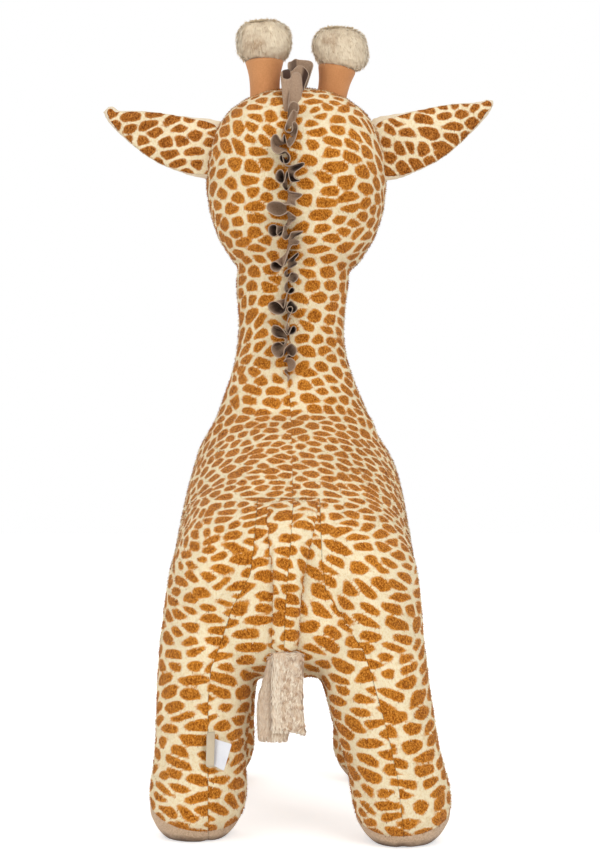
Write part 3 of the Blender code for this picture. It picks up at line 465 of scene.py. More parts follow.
def pile_group():
    """Short pile: tufts that lie downwards, flecks, and slow changes of its nap."""
    sockets = [
        ("Place", "NodeSocketVector", (0, 0, 0)),
        ("Tuft size", "NodeSocketFloat", 0.0025),
        ("Lie", "NodeSocketVector", (1, 1, 0.5)),
    ]
    results = [
        ("Tufts", "NodeSocketFloat"),
        ("Fibres", "NodeSocketFloat"),
        ("Nap", "NodeSocketFloat"),
    ]
    w, given, out = new_group("Pile", sockets, results)
    lying = w.add("ShaderNodeVectorMath", {0: given["Place"], 1: given["Lie"]}, operation="MULTIPLY")
    density = w.maths("DIVIDE", 1.0, given["Tuft size"])
    tufts = w.grain(lying.outputs[0], density, 2.0, 0.55)
    fibres = w.grain(lying.outputs[0], w.maths("MULTIPLY", density, 3.1), 1.0, 0.5)
    nap = w.grain(given["Place"], 22.0, 2.0, 0.5)
    w.join(w.span(tufts, 0.3, 0.7), out["Tufts"])
    w.join(w.span(fibres, 0.3, 0.7), out["Fibres"])
    w.join(nap, out["Nap"])
    return w.tree


PILE = pile_group()


def new_material(name, roughness=0.9, sheen=0.0, specular=0.3, metallic=0.0, coat=0.0):
    material = bpy.data.materials.new(name)
    material.use_nodes = True
    shader = material.node_tree.nodes["Principled BSDF"]
    shader.inputs["Roughness"].default_value = roughness
    shader.inputs["Sheen Weight"].default_value = sheen
    shader.inputs["Sheen Roughness"].default_value = 0.5
    shader.inputs["Specular IOR Level"].default_value = specular
    shader.inputs["Metallic"].default_value = metallic
    shader.inputs["Coat Weight"].default_value = coat
    return material, Wiring(material.node_tree), shader.inputs


def bumped(w, shader, height, depth, strength=1.0):
    bump = w.add("ShaderNodeBump", {"Height": height, "Distance": depth, "Strength": strength})
    w.join(bump.outputs[0], shader["Normal"])


def pile_values(w, place, tuft, lie):
    group = w.add("ShaderNodeGroup", node_tree=PILE)
    for key, value in (("Place", place), ("Tuft size", tuft), ("Lie", lie)):
        w.join(value, group.inputs[key])
    return group.outputs["Tufts"], group.outputs["Fibres"], group.outputs["Nap"]


def spotted_plush(name, browns):
    """Brown spots on cream plush.

    Each panel has its own print, in millimetres inwards from a spot's edge, and the attributes side
    and gusset say in millimetres which panel a place is on, so that a print ends at its seam.
    """
    material, w, shader = new_material(name, roughness=0.95, sheen=0.10, specular=0.12)
    place = w.own_place()
    tufts, fibres, nap = pile_values(w, place, 0.0019, (1.0, 1.0, 0.75))
    side, gusset = w.painted("side"), w.painted("gusset")
    outer = w.blend_value(w.span(side, -0.1, 0.1), w.painted("spot_right"), w.painted("spot_left"))
    spot = w.blend_value(w.span(gusset, -0.1, 0.1), outer, w.painted("spot_gusset"))
    ragged = w.grain(w.stretched(place, (1.0, 1.0, 0.6)), 700.0, 2.0, 0.6)
    wander = w.grain(place, 170.0, 1.0, 0.5)
    edge = w.stirred(w.stirred(spot, ragged, 1.3), wander, 2.4)
    brown = w.span(edge, -1.0, 0.7, smooth=True)
    rim = w.span(edge, 0.2, 2.1, 1.0, 0.0, smooth=True)
    fleck = w.weighed(tufts, 0.6, fibres, 0.4)
    dark_brown = w.mixed(w.span(fleck, 0.30, 0.50), browns[0], browns[1])
    lit = w.maths("MAXIMUM", w.span(fleck, 0.50, 0.74), w.maths("MULTIPLY", rim, 0.75))
    spots = w.mixed(lit, dark_brown, browns[2])
    ground = w.mixed(w.span(fleck, 0.1, 0.55), CREAM_SHADE, CREAM_LIGHT)
    colour = w.mixed(brown, ground, spots)
    slow = w.span(nap, 0.3, 0.7, 0.94, 1.05)
    outside = w.maths("ADD", w.maths("ABSOLUTE", side), w.maths("MAXIMUM", gusset, 0.0))
    seam = w.maths("MINIMUM", outside, w.maths("ABSOLUTE", gusset))
    broken = w.stirred(seam, wander, 1.6)
    dark = w.span(w.height_of(place), 0.37, 0.41, 0.55, 0.86)
    thread = w.blend_value(w.span(broken, 0.0, 1.0, smooth=True), dark, 1.0)
    colour = w.mixed(1.0, colour, w.grey(w.maths("MULTIPLY", slow, thread)), "MULTIPLY")
    w.join(colour, shader["Base Color"])
    w.join(w.span(fleck, 0.0, 1.0, 1.0, 0.85), shader["Roughness"])
    bumped(w, shader, fleck, 0.0016, 0.6)
    return material


def combed_fur(name, light, shade, root):
    """Strands whose UV map holds each one's own shade across, and the way from root to tip upwards."""
    material, w, shader = new_material(name, roughness=0.9, sheen=0.35, specular=0.15)
    strand = w.strand_map()
    colour = w.mixed(w.span(strand[0], 0.0, 1.0), shade, light)
    colour = w.mixed(w.span(strand[1], 0.0, 0.7), root, colour)
    w.join(colour, shader["Base Color"])
    w.join(w.span(strand[1], 0.0, 1.0, 0.98, 0.82), shader["Roughness"])
    return material


def pile_of_spots(name, browns):
    """Short strands over the plush: brown where their map's U is over a half, else cream."""
    material, w, shader = new_material(name, roughness=0.95, sheen=0.10, specular=0.10)
    strand = w.strand_map()
    shade = w.maths("FRACT", w.maths("MULTIPLY", strand[0], 8.0))
    spots = w.mixed(shade, browns[0], browns[2])
    ground = w.mixed(shade, CREAM_SHADE, CREAM_LIGHT)
    w.join(w.mixed(w.span(strand[0], 0.499, 0.501), ground, spots), shader["Base Color"])
    w.join(w.span(strand[1], 0.0, 1.0, 1.0, 0.88), shader["Roughness"])
    return material


def napped_cloth(name, light, dark, tuft, lie=(1.0, 1.0, 0.5), depth=0.0006, sheen=0.2, patches=9.0):
    """Velour, felt or lining: one colour whose pile turns lighter and darker in patches."""
    material, w, shader = new_material(name, roughness=0.92, sheen=sheen, specular=0.2)
    place = w.own_place()
    tufts, fibres, nap = pile_values(w, place, tuft, lie)
    patch = w.grain(place, patches * 6, 3.0, 0.6)
    fleck = w.weighed(fibres, 0.4, tufts, 0.3)
    share = w.maths("MULTIPLY_ADD", w.span(patch, 0.35, 0.65), 0.35, fleck)
    share = w.maths("MULTIPLY_ADD", w.span(nap, 0.3, 0.7), 0.15, share)
    w.join(w.mixed(w.span(share, 0.15, 0.95), dark, light), shader["Base Color"])
    w.join(w.span(fleck, 0.0, 0.7, 0.98, 0.84), shader["Roughness"])
    bumped(w, shader, fleck, depth, 0.5)
    return material


def hoof_velour(name, light, dark, sole):
    """Short velour with its seam at the heel, and darker round the sole, partly its own darker cloth and
    partly painted shade.
    """
    material, w, shader = new_material(name, roughness=0.92, sheen=0.2, specular=0.2)
    place = w.own_place()
    tufts, fibres, nap = pile_values(w, place, 0.0019, (1.0, 1.0, 0.8))
    fleck = w.weighed(fibres, 0.45, tufts, 0.55)
    share = w.maths("MULTIPLY_ADD", w.span(nap, 0.3, 0.7), 0.25, fleck)
    colour = w.mixed(w.span(share, 0.25, 0.95), dark, light)
    # Darker towards the floor with a ragged edge: the sole's darker cloth, and painted shade under its
    # rolled edge.
    dark_sole_and_shade = w.stirred(w.height_of(place), w.grain(place, 60.0), 0.016)
    colour = w.mixed(w.span(dark_sole_and_shade, 0.001, 0.011, smooth=True), sole, colour)
    colour = w.mixed(w.span(w.painted("seam"), 0.0, 1.1, smooth=True), sole, colour)
    w.join(colour, shader["Base Color"])
    w.join(w.span(fleck, 0.0, 1.0, 1.0, 0.85), shader["Roughness"])
    bumped(w, shader, fleck, 0.0010, 0.6)
    return material


def cut_felt(name, light, dark, inside):
    """Felt with a painted highlight along its cut edge, and painted shade deep in its folds where the
    painted openness is low.
    """
    material, w, shader = new_material(name, roughness=0.95, sheen=0.15, specular=0.15)
    place = w.own_place()
    tufts, fibres, _ = pile_values(w, place, 0.0013, (1.0, 1.0, 1.0))
    fleck = w.weighed(fibres, 0.4, tufts, 0.4)
    colour = w.mixed(w.span(fleck, 0.1, 0.7), dark, light)
    # Painted shade: the inside colour where little open air is painted.
    colour = w.mixed(w.span(w.painted("open"), 0.0, 0.42, smooth=True), inside, colour)
    # Painted highlight: a paler colour towards the cut edge.
    colour = w.mixed(w.span(w.painted("cut"), 0.86, 1.0, 0.0, 0.5), colour, srgb(206, 184, 162))
    w.join(colour, shader["Base Color"])
    w.join(w.span(fleck, 0.0, 0.8, 1.0, 0.88), shader["Roughness"])
    bumped(w, shader, fleck, 0.0005, 0.5)
    return material


def satin_thread(name, light, dark):
    material, w, shader = new_material(name, roughness=0.55, sheen=0.3, specular=0.4)
    threads = w.grain(w.stretched(w.own_place(), (1.0, 1.0, 3.0)), 1400.0, 1.0, 0.5)
    w.join(w.mixed(w.span(threads, 0.3, 0.7), dark, light), shader["Base Color"])
    w.join(w.span(threads, 0.3, 0.7, 0.62, 0.45), shader["Roughness"])
    bumped(w, shader, threads, 0.0004, 0.8)
    return material


PLUSH = spotted_plush("Spotted plush", BROWNS)
PLUSH_PILE = pile_of_spots("Plush pile", BROWNS)
EAR_PLUSH = spotted_plush("Ear plush", SHADED_EAR_BROWNS)
EAR_PILE = pile_of_spots("Ear pile", SHADED_EAR_BROWNS)
TUFT_FUR = combed_fur("Tuft fur strands", TUFT_LIGHT, srgb(190, 152, 120), srgb(232, 207, 177))
FUR = combed_fur("Long fur strands", FUR_LIGHT, FUR_SHADE, srgb(242, 226, 200))
# The last colour marks the heel seam, and is the sole's darker cloth with painted shade round the sole.
HOOF_VELOUR = hoof_velour("Hoof velour", srgb(224, 195, 164), srgb(184, 152, 120), srgb(120, 92, 66))
HORN_VELOUR = napped_cloth("Horn velour", TAN, TAN_DARK, 0.0012, patches=5.0)
# The last colour is the painted shade deep in the mane's folds.
MANE_FELT = cut_felt("Mane felt", srgb(184, 156, 131), srgb(146, 118, 95), srgb(70, 48, 37))
LINING_VELOUR = napped_cloth("Cream velour", LINING, LINING_SHADE, 0.0016)
FUR_GROUND = napped_cloth("Long fur backing", FUR_LIGHT, FUR_SHADE, 0.004, (1.0, 1.0, 0.3), 0.002)
TUFT_GROUND = napped_cloth("Tuft fur backing", srgb(236, 214, 186), srgb(198, 168, 138), 0.003, depth=0.002)
TAPE = napped_cloth("Label tape", srgb(208, 193, 167), srgb(188, 171, 143), 0.0008, (1, 1, 1), 0.0002, 0.3)
STITCH_THREAD = satin_thread("Stitching thread", srgb(112, 84, 64), srgb(74, 52, 38))
LABEL_WHITE, LABEL_GREY = srgb(236, 236, 239), srgb(218, 219, 225)
LABEL = napped_cloth("Care label cloth", LABEL_WHITE, LABEL_GREY, 0.0008, (1, 1, 1), 0.0002, 0.1)


# The plush cover
COVER_NODES = ["body", "neck", "head"] + ["leg_" + name for name in LEGS]
HOOF_NODES = ["hoof_" + name for name in LEGS]


def seam_runs(target):
    """Heights and X of the hind legs' back seams, from the cross seam down to the hooves."""
    runs = {}
    for side, pixels in HIND_SEAMS.items():
        places = [seen_at(target, *pixel) for pixel in pixels]
        places = sorted((place for place in places if place), key=lambda place: place.z)
        runs[side] = ([p.z for p in places], [abs(p.x) for p in places])
    return runs


# Heights, and the X at them of the front legs' inner seams and of the centre seam
FRONT_RUN = ([0.03, 0.10, 0.16, 0.22, 0.28, 0.34, 0.40], [0.112, 0.108, 0.100, 0.088, 0.070, 0.040, 0.0])
REAR = (-0.02, 0.08)  # the Y between which they give way to the hind legs' seams
SPINE_RUN = ([0.36, 0.42, 0.47, 0.52, 0.90], [BACK_SEAM_X, 0.002, 0.004, CENTRE_X, CENTRE_X])


def panel_sides(co, runs):
    """Millimetres to the left of the centre seam, and inside the gusset between the legs."""
    x, y, z = co[:, 0], co[:, 1], co[:, 2]
    rear = smooth_step(*REAR, y)
    left = rear * np.interp(z, *runs["left"]) + (1 - rear) * np.interp(z, *FRONT_RUN)
    right = rear * np.interp(z, *runs["right"]) + (1 - rear) * np.interp(z, *FRONT_RUN)
    gusset = np.minimum(np.minimum(left - x, x + right), CROSS_SEAM_HEIGHT - z)
    return 1000 * (x - np.interp(z, *SPINE_RUN)), 1000 * gusset


def seam_distance(side, gusset):
    """Metres to the nearest seam of the cover."""
    outside = np.abs(side) + np.maximum(gusset, 0.0)
    return np.minimum(outside, np.abs(gusset)) / 1000


# The print; what isn't a share is in millimetres
SPOT_SIZES = (0.80, 1.22)  # least and most, as shares of the spacing
SPOT_LENGTHS = (0.74, 1.0)  # as shares of the stretch
SPOT_TILT = 0.20  # radians by which neighbours differ
SPOT_FILL = 0.84  # of a spot's reach that is brown
ROUNDING = 0.8  # how softly edges that meet are rounded off
OFF_SPOTS, IN_SPOTS = -5.0, 6.0  # the furthest values
PAST_SEAM = 8.0  # how far a print goes on past the seam
FAR = 20.0  # away from any seam


def spot_field(co, normals, spacing, stretch, seed):
    """Millimetres inwards from the edge of the nearest spot, below 0 on the ground between them.

    Each spot has its own size and tilt, and a length that goes up to the stretch given there.
    """
    rng = np.random.default_rng(seed)
    level = np.cross(normals, (0.0, 0.0, 1.0))
    weak = np.linalg.norm(level, axis=1) < 0.2
    level[weak] = (1.0, 0.0, 0.0)
    level /= np.linalg.norm(level, axis=1, keepdims=True)
    steep = np.cross(normals, level)
    every = tree_of(co)
    blocked = np.zeros(len(co), dtype=bool)
    seeds, rows = [], []
    for i in rng.permutation(len(co)):
        if blocked[i]:
            continue
        size = spacing[i] * rng.uniform(*SPOT_SIZES)
        slow = noise.noise(Vector(co[i]) * 8.0) * (2.6 - 0.75 * stretch[i])
        tilt = slow + rng.normal(0.0, SPOT_TILT)
        length = rng.uniform(*SPOT_LENGTHS) * stretch[i]
        along = math.cos(tilt) * level[i] + math.sin(tilt) * steep[i]
        across = -math.sin(tilt) * level[i] + math.cos(tilt) * steep[i]
        near = np.array([found[1] for found in every.find_range(co[i], 1.8 * size)])
        far = spot_reach(co[near] - co[i], along, across, normals[i], length)
        blocked[near[far < size]] = True
        seeds.append(i)
        rows.append((size, length, *along, *across))
    seeds, rows = np.array(seeds), np.array(rows)
    tree = tree_of(co[seeds])
    count = min(8, len(seeds))
    which = np.array([[found[1] for found in tree.find_n(place, count)] for place in co])
    sizes, lengths, alongs, acrosses = rows[:, 0], rows[:, 1], rows[:, 2:5], rows[:, 5:8]
    gap = co[:, None, :] - co[seeds[which]]
    reach = spot_reach(gap, alongs[which], acrosses[which], normals[seeds[which]], lengths[which])
    rank = np.argsort(reach, axis=1)
    reach = np.take_along_axis(reach, rank, axis=1)
    which = np.take_along_axis(which, rank, axis=1)
    first = which[:, 0]
    inner = 1000.0 * (SPOT_FILL * sizes[first] - reach[:, 0]) / ROUNDING
    inner = np.exp(-inner)
    for k in range(1, 5):
        pair = (np.minimum(first, which[:, k]) * 7 + np.maximum(first, which[:, k]) * 13) % 29
        line = 1000.0 * sizes[first] * (0.065 + 0.10 * pair / 28)
        line = np.where(pair == 5, line - 1.8, line)
        inner += np.exp(-(500.0 * (reach[:, k] - reach[:, 0]) - line) / ROUNDING)
    return np.clip(-ROUNDING * np.log(inner), OFF_SPOTS, IN_SPOTS)


def spot_reach(gap, along, across, outward, length):
    """Distances as a spot counts them, shorter along its length."""
    u = (gap * along).sum(-1) / length
    v = (gap * across).sum(-1) * np.sqrt(length)
    w = (gap * outward).sum(-1)
    return np.sqrt(u * u + v * v + w * w)


def paint(ob, name, values):
    attribute = ob.data.attributes.new(name, "FLOAT", "POINT")
    attribute.data.foreach_set("value", np.asarray(values, dtype=np.float32))


def painted_on(ob, name):
    values = np.empty(len(ob.data.vertices))
    ob.data.attributes[name].data.foreach_get("value", values)
    return values


def print_spots(ob, side, gusset, spacing, stretch, seed, thinned=0.0):
    """Gives each panel of a piece its own print, which reaches a little past its seams.

    Each spot's edge draws in by the thinned millimetres.
    """
    co, normals = places_of(ob), normals_of(ob)
    paint(ob, "side", side)
    paint(ob, "gusset", gusset)
    for name, there in (
        ("spot_left", (side > -PAST_SEAM) & (gusset < PAST_SEAM)),
        ("spot_right", (side < PAST_SEAM) & (gusset < PAST_SEAM)),
        ("spot_gusset", gusset > -PAST_SEAM),
    ):
        field = np.full(len(co), OFF_SPOTS)
        if there.any():
            field[there] = spot_field(co[there], normals[there], spacing[there], stretch[there], seed)
            seed += 1
        paint(ob, name, field - thinned)


def print_alike(ob, side, spots, seed):
    """Spots of one spacing and stretch, all over a piece without a gusset."""
    every = np.ones(len(ob.data.vertices))
    spacing, stretch = spots
    print_spots(ob, side * every, -FAR * every, spacing * every, stretch * every, seed)


def near_foot(name, place, span):
    """Whether a place, or each of three rows of coordinates, lies within a span of a leg's middle."""
    x, y = LEGS[name]
    return (abs(place[0] - x) < span[0]) & (abs(place[1] - y) < span[1])


def hoof_seam(name):
    """A place on a hoof's seam, and its upward normal."""
    x, y = LEGS[name]
    cant = math.tan(HOOF_CANT) * (-1 if x > 0 else 1) * CANT_SHARES.get(name, 1.0)
    up = Vector((cant, math.tan(HOOF_SLANT), 1.0)).normalized()
    return Vector((x, y, HOOF_SEAM_HEIGHT)), up


def hoof_split(bm, name):
    """Cuts a foot off along its hoof's seam; gives the faces below it."""

    def of_foot():
        middles = [(face, face.calc_center_median()) for face in bm.faces]
        return [(face, middle) for face, middle in middles if near_foot(name, middle, FOOT_CUT_SPAN)]

    near = [face for face, middle in of_foot() if middle.z < FOOT_TOP]
    geom = list({v for f in near for v in f.verts} | {e for f in near for e in f.edges}) + near
    place, up = hoof_seam(name)
    bmesh.ops.bisect_plane(bm, geom=geom, dist=WELD, plane_co=place, plane_no=up)
    return [face for face, middle in of_foot() if (middle - place).dot(up) < 0]


def parted(bm, faces, name):
    """Moves faces into a mesh of their own and closes both at the seam."""
    chosen = set(faces)
    part = bm.copy()
    flags = [face in chosen for face in bm.faces]
    others = [face for face, flag in zip(part.faces, flags) if not flag]
    bmesh.ops.delete(part, geom=others, context="FACES")
    bmesh.ops.delete(bm, geom=list(chosen), context="FACES")
    for shell in (bm, part):
        rim = [edge for edge in shell.edges if edge.is_boundary]
        filled = bmesh.ops.edgeloop_fill(shell, edges=rim)["faces"]
        bmesh.ops.triangulate(shell, faces=filled)
        for vert in shell.verts:
            vert.normal_update()
    return mesh_of(part, name)


def lumps(co, normals, size, depth, seed):
    """The stuffing's slow bumps under the cloth."""
    shift = Vector((seed * 1.7, seed * 0.9, seed * 2.3))
    rise = np.array([noise.noise(Vector(place) / size + shift) for place in co])
    return co + normals * (rise * depth)[:, None]


SHOULDER_PASSES = 30
SHOULDERS = (0.47, 0.50, 0.56, 0.60)  # heights between which the cover is evened out more
SEAM_WIDTH, SEAM_DEPTH = 0.0045, 0.0016
SEAM_FAR = 0.02  # a distance at which no seam is felt
LUMP_SIZE, LUMP_DEPTH = 0.055, 0.0016
WAIST_HEIGHT, WAIST_SPREAD = 0.452, 0.024  # where the sides below the shoulders are drawn in
WAIST_DEPTHS = (0.0075, 0.0015)  # on the right and on the left
SOLE_TUCK, TUCK_HEIGHT = 0.13, 0.030  # how much narrower the sole is, and up to where
SOLE_HELD = 0.006  # below this height nothing fills out
# Each value of the print on the trunk, and what is added on the back, the head and the legs
COVER_SPACING = (0.0158, -0.0018, -0.0004, -0.0004)
COVER_STRETCH = (1.68, -0.34, 0.0, 0.42)
COVER_THINNED = (0.06, -0.20, 0.0, 0.26)


def print_cover(ob, runs):
    co, normals = places_of(ob), normals_of(ob)
    back = smooth_step(0.25, 0.7, normals[:, 2]) * smooth_step(0.62, 0.5, co[:, 2])
    head = smooth_step(0.62, 0.68, co[:, 2])
    legs = smooth_step(0.42, 0.34, co[:, 2])
    spacing, stretch, thinned = (
        trunk + on_back * back + on_head * head + on_legs * legs
        for trunk, on_back, on_head, on_legs in (COVER_SPACING, COVER_STRETCH, COVER_THINNED)
    )
    print_spots(ob, *panel_sides(co, runs), spacing, stretch, PRINT_SEEDS["cover"], thinned)


def sew_cover():
    """The body, neck, head and legs in one skin; hooves and muzzle are cut off it along their seams."""
    ob = shapes_joined("plush_cover", COVER_NODES + HOOF_NODES + ["muzzle"], COVER_SWELL)
    recut(ob, COVER_VOXEL)
    faired(ob, COVER_PASSES)
    runs = seam_runs(ray_target(ob))
    co = places_of(ob)
    low, full_from, full_to, high = SHOULDERS
    shoulder = smooth_step(low, full_from, co[:, 2]) * smooth_step(high, full_to, co[:, 2])
    faired(ob, SHOULDER_PASSES, take=-0.5, held=1 - shoulder)
    co = places_of(ob)
    seam = seam_distance(*panel_sides(co, runs))
    hoof = np.full(len(co), SEAM_FAR)
    for name in LEGS:
        place, up = hoof_seam(name)
        rise = (co - np.array(place)) @ np.array(up)
        hoof = np.where(near_foot(name, co.T, FOOT_SPAN), np.minimum(hoof, abs(rise)), hoof)
    ring = np.where(co[:, 1] < -0.15, np.minimum(SEAM_FAR, abs(co[:, 1] - MUZZLE_SEAM_Y)), SEAM_FAR)
    close = np.minimum(np.minimum(seam, hoof), ring)
    valley = np.exp(-((close / SEAM_WIDTH) ** 2))
    bumpy = lumps(co, normals_of(ob), LUMP_SIZE, LUMP_DEPTH, LUMP_SEEDS["cover"])
    co = bumpy - normals_of(ob) * (valley * SEAM_DEPTH)[:, None]
    waist = np.exp(-(((co[:, 2] - WAIST_HEIGHT) / WAIST_SPREAD) ** 2))
    waist *= smooth_step(0.06, 0.10, np.abs(co[:, 0]))
    co[:, 0] += np.where(co[:, 0] < 0, WAIST_DEPTHS[0], -WAIST_DEPTHS[1]) * waist
    for name, middle in LEGS.items():
        foot = near_foot(name, co.T, FOOT_SPAN) & (co[:, 2] < 0.05)
        tuck = 1 - SOLE_TUCK * smooth_step(TUCK_HEIGHT, 0.0, co[foot, 2])
        co[foot, :2] = np.array(middle) + (co[foot, :2] - middle) * tuck[:, None]
    set_places(ob, co)
    held = np.maximum(np.clip(valley * 1.2, 0, 1), np.where(co[:, 2] < SOLE_HELD, 1.0, 0.0))
    stuffed(ob, held, COVER_FILL)
    finer(ob)
    co = places_of(ob)
    co[:, 2] = np.maximum(co[:, 2], 0.0)
    set_places(ob, co)
    bm = bmesh_of(ob)
    for name in LEGS:
        mesh = parted(bm, hoof_split(bm, name), "hoof_" + name)
        hoof = new_piece("hoof_" + name + "_velour", mesh, HOOF_VELOUR)
        paint(hoof, "seam", 1000 * seam_distance(*panel_sides(places_of(hoof), runs)))
        finish_piece(hoof, "giraffe", ["hoof_" + name])
    front = Vector((0, MUZZLE_SEAM_Y, 0))
    bmesh.ops.bisect_plane(bm, geom=whole(bm), dist=WELD, plane_co=front, plane_no=(0, 1, 0))
    ahead = [face for face in bm.faces if face.calc_center_median().y < MUZZLE_SEAM_Y]
    muzzle = new_piece("muzzle_velour", parted(bm, ahead, "muzzle_velour"), LINING_VELOUR)
    finish_piece(muzzle, "giraffe", ["muzzle"])
    put_back(bm, ob)
    ob.data.materials.clear()
    ob.data.materials.append(PLUSH)
    ob.data.shade_smooth()
    print_cover(ob, runs)
    finish_piece(ob, "giraffe", COVER_NODES)
    return ob, muzzle


# Strands of pile and fur
PILE_SPACING = 0.0027
PILE_LENGTHS = (0.0018, 0.0028)
PILE_WIDTHS = (0.0007, 0.0011)
PILE_STAND, PILE_SPREAD = 0.55, 0.28  # how much pile stands off the cloth, and how much its ways differ
FUR_LENGTHS = (0.7, 1.15)  # as shares of the length asked for
FUR_WIDTHS = (0.0008, 0.0014)
FUR_STAND = 0.16
FUR_TONE = 0.92  # the usual share of the light colour
TAPER = 0.3  # of a strand's width that is gone before its tip
DROOP = 0.25  # of a strand's length that its tip hangs down
DOWN = np.array((0.0, 0.0, -1.0))


def sown(ob, spacing, seed):
    """Places, normals and painted values at random over a piece, one to each square of the spacing."""
    rng = np.random.default_rng(seed)
    mesh = ob.data
    mesh.calc_loop_triangles()
    corners = np.empty(len(mesh.loop_triangles) * 3, dtype=np.int64)
    mesh.loop_triangles.foreach_get("vertices", corners)
    corners = corners.reshape(-1, 3)
    co, normals = places_of(ob), normals_of(ob)
    a, b, c = (co[corners[:, k]] for k in range(3))
    area = np.linalg.norm(np.cross(b - a, c - a), axis=1) / 2
    count = int(area.sum() / spacing**2)
    chosen = corners[rng.choice(len(area), count, p=area / area.sum())]
    shares = rng.dirichlet((1.0, 1.0, 1.0), count)
    places = np.einsum("nk,nkd->nd", shares, co[chosen])
    outward = np.einsum("nk,nkd->nd", shares, normals[chosen])
    outward /= np.linalg.norm(outward, axis=1, keepdims=True)
    values = {}
    for attribute in mesh.attributes:
        if attribute.domain == "POINT" and attribute.data_type == "FLOAT":
            held = np.empty(len(mesh.vertices))
            attribute.data.foreach_get("value", held)
            values[attribute.name] = (held[chosen] * shares).sum(axis=1)
    return rng, places, outward, values


def strands(name, roots, outward, ways, lengths, widths, shades, steps, rng, material, lift=0.0):
    """Tapering strands as one mesh, each of a few triangles, with its shade and length in its UV map.

    They take the light as the cloth under them does, or turned upwards by the lift.
    """
    count = len(roots)
    side = np.cross(ways, outward) + rng.normal(0.0, 0.25, (count, 3))
    side /= np.linalg.norm(side, axis=1, keepdims=True)
    droop = DOWN - outward * (outward @ DOWN)[:, None]
    places = np.empty((count, 2 * steps + 1, 3))
    for row in range(steps):
        share = row / steps
        middle = roots + ways * (lengths * share)[:, None] + droop * (lengths * DROOP * share**2)[:, None]
        half = side * (widths * (1 - TAPER * share) / 2)[:, None]
        places[:, 2 * row] = middle - half
        places[:, 2 * row + 1] = middle + half
    places[:, -1] = roots + ways * lengths[:, None] + droop * (lengths * DROOP)[:, None]
    faces = []
    for row in range(steps - 1):
        low = 2 * row
        faces += [(low, low + 1, low + 3), (low, low + 3, low + 2)]
    faces.append((2 * steps - 2, 2 * steps - 1, 2 * steps))
    faces = np.array(faces)
    corners = (np.arange(count)[:, None, None] * (2 * steps + 1) + faces[None]).reshape(-1)
    mesh = bpy.data.meshes.new(name)
    mesh.vertices.add(count * (2 * steps + 1))
    mesh.vertices.foreach_set("co", places.ravel())
    mesh.loops.add(len(corners))
    mesh.loops.foreach_set("vertex_index", corners)
    mesh.polygons.add(len(corners) // 3)
    mesh.polygons.foreach_set("loop_start", np.arange(0, len(corners), 3))
    rise = np.array([row / steps for row in range(steps) for _ in (0, 1)] + [1.0])
    nudge = np.array([0.0, 0.004] * steps + [0.002])
    uv = np.empty((count, 2 * steps + 1, 2))
    uv[:, :, 0] = 0.002 + 0.99 * shades[:, None] + nudge
    uv[:, :, 1] = 0.02 + 0.96 * rise
    mesh.uv_layers.new(name=STRAND_MAP).data.foreach_set("uv", uv.reshape(-1, 2)[corners].ravel())
    mesh.update(calc_edges=True)
    mesh.validate()
    ob = new_piece(name, mesh, material)
    lit = outward + np.array((0.0, 0.0, lift))
    lit = np.repeat(lit / np.linalg.norm(lit, axis=1, keepdims=True), 2 * steps + 1, axis=0)
    mesh.normals_split_custom_set_from_vertices(lit)
    return ob


def combed(outward, towards, stand, spread, rng):
    """Ways for strands: towards a direction along the cloth, standing off it by a share."""
    flat = towards - outward * (outward * towards).sum(axis=1, keepdims=True)
    flat /= np.maximum(np.linalg.norm(flat, axis=1, keepdims=True), 1e-6)
    ways = flat * (1 - stand) + outward * stand + rng.normal(0.0, spread, outward.shape)
    return ways / np.linalg.norm(ways, axis=1, keepdims=True)


def spotted_pile(ob, name, body, seed, material):
    """Short strands over spotted plush, which take their colour from the print at their roots."""
    rng, places, outward, values = sown(ob, PILE_SPACING, seed)
    spot = np.where(values["side"] > 0, values["spot_left"], values["spot_right"])
    spot = np.where(values["gusset"] > 0, values["spot_gusset"], spot)
    spot += rng.normal(0.0, 0.25, len(spot))
    shade = rng.uniform(0.02, 0.98, len(spot)) / 8
    shade = np.where(spot > 0, 0.625, 0.125) + shade
    down = np.tile(DOWN, (len(spot), 1))
    ways = combed(outward, down, PILE_STAND, PILE_SPREAD, rng)
    lengths = rng.uniform(*PILE_LENGTHS, len(spot))
    widths = rng.uniform(*PILE_WIDTHS, len(spot))
    pile = strands(name, places, outward, ways, lengths, widths, shade, 1, rng, material)
    finish_piece(pile, body, [])


def long_fur(ob, name, body, seed, length, spacing, towards, shade_of, material, lift, spread):
    """Fur combed towards a direction; shade_of gives each root's share of the light colour."""
    rng, places, outward, _ = sown(ob, spacing, seed)
    ways = combed(outward, towards(places), FUR_STAND, spread, rng)
    shade = np.clip(shade_of(places) + rng.normal(0.0, 0.10, len(places)), 0.0, 1.0)
    lengths = length * rng.uniform(*FUR_LENGTHS, len(places))
    widths = rng.uniform(*FUR_WIDTHS, len(places))
    fur = strands(name, places, outward, ways, lengths, widths, shade, 3, rng, material, lift)
    finish_piece(fur, body, [])


def slow_noise(places, scale, seed=0.0):
    shift = Vector((seed, 0.3, 0.7))
    return np.array([noise.noise(Vector(place) * scale + shift) for place in places])


# Ears
EAR_TIP = (0.0082, 0.0082, 0.0046, 1.0)  # half the sizes of the tip's round end
EAR_TUCK, TUCK_REACH = 0.014, 0.024  # how far the root goes into the head, and up to where it is drawn along
EAR_RIM = 0.0022  # how near the ear's middle plane the seam holds the cloth
EAR_SPOTS = (0.0150, 1.6)  # spacing and stretch


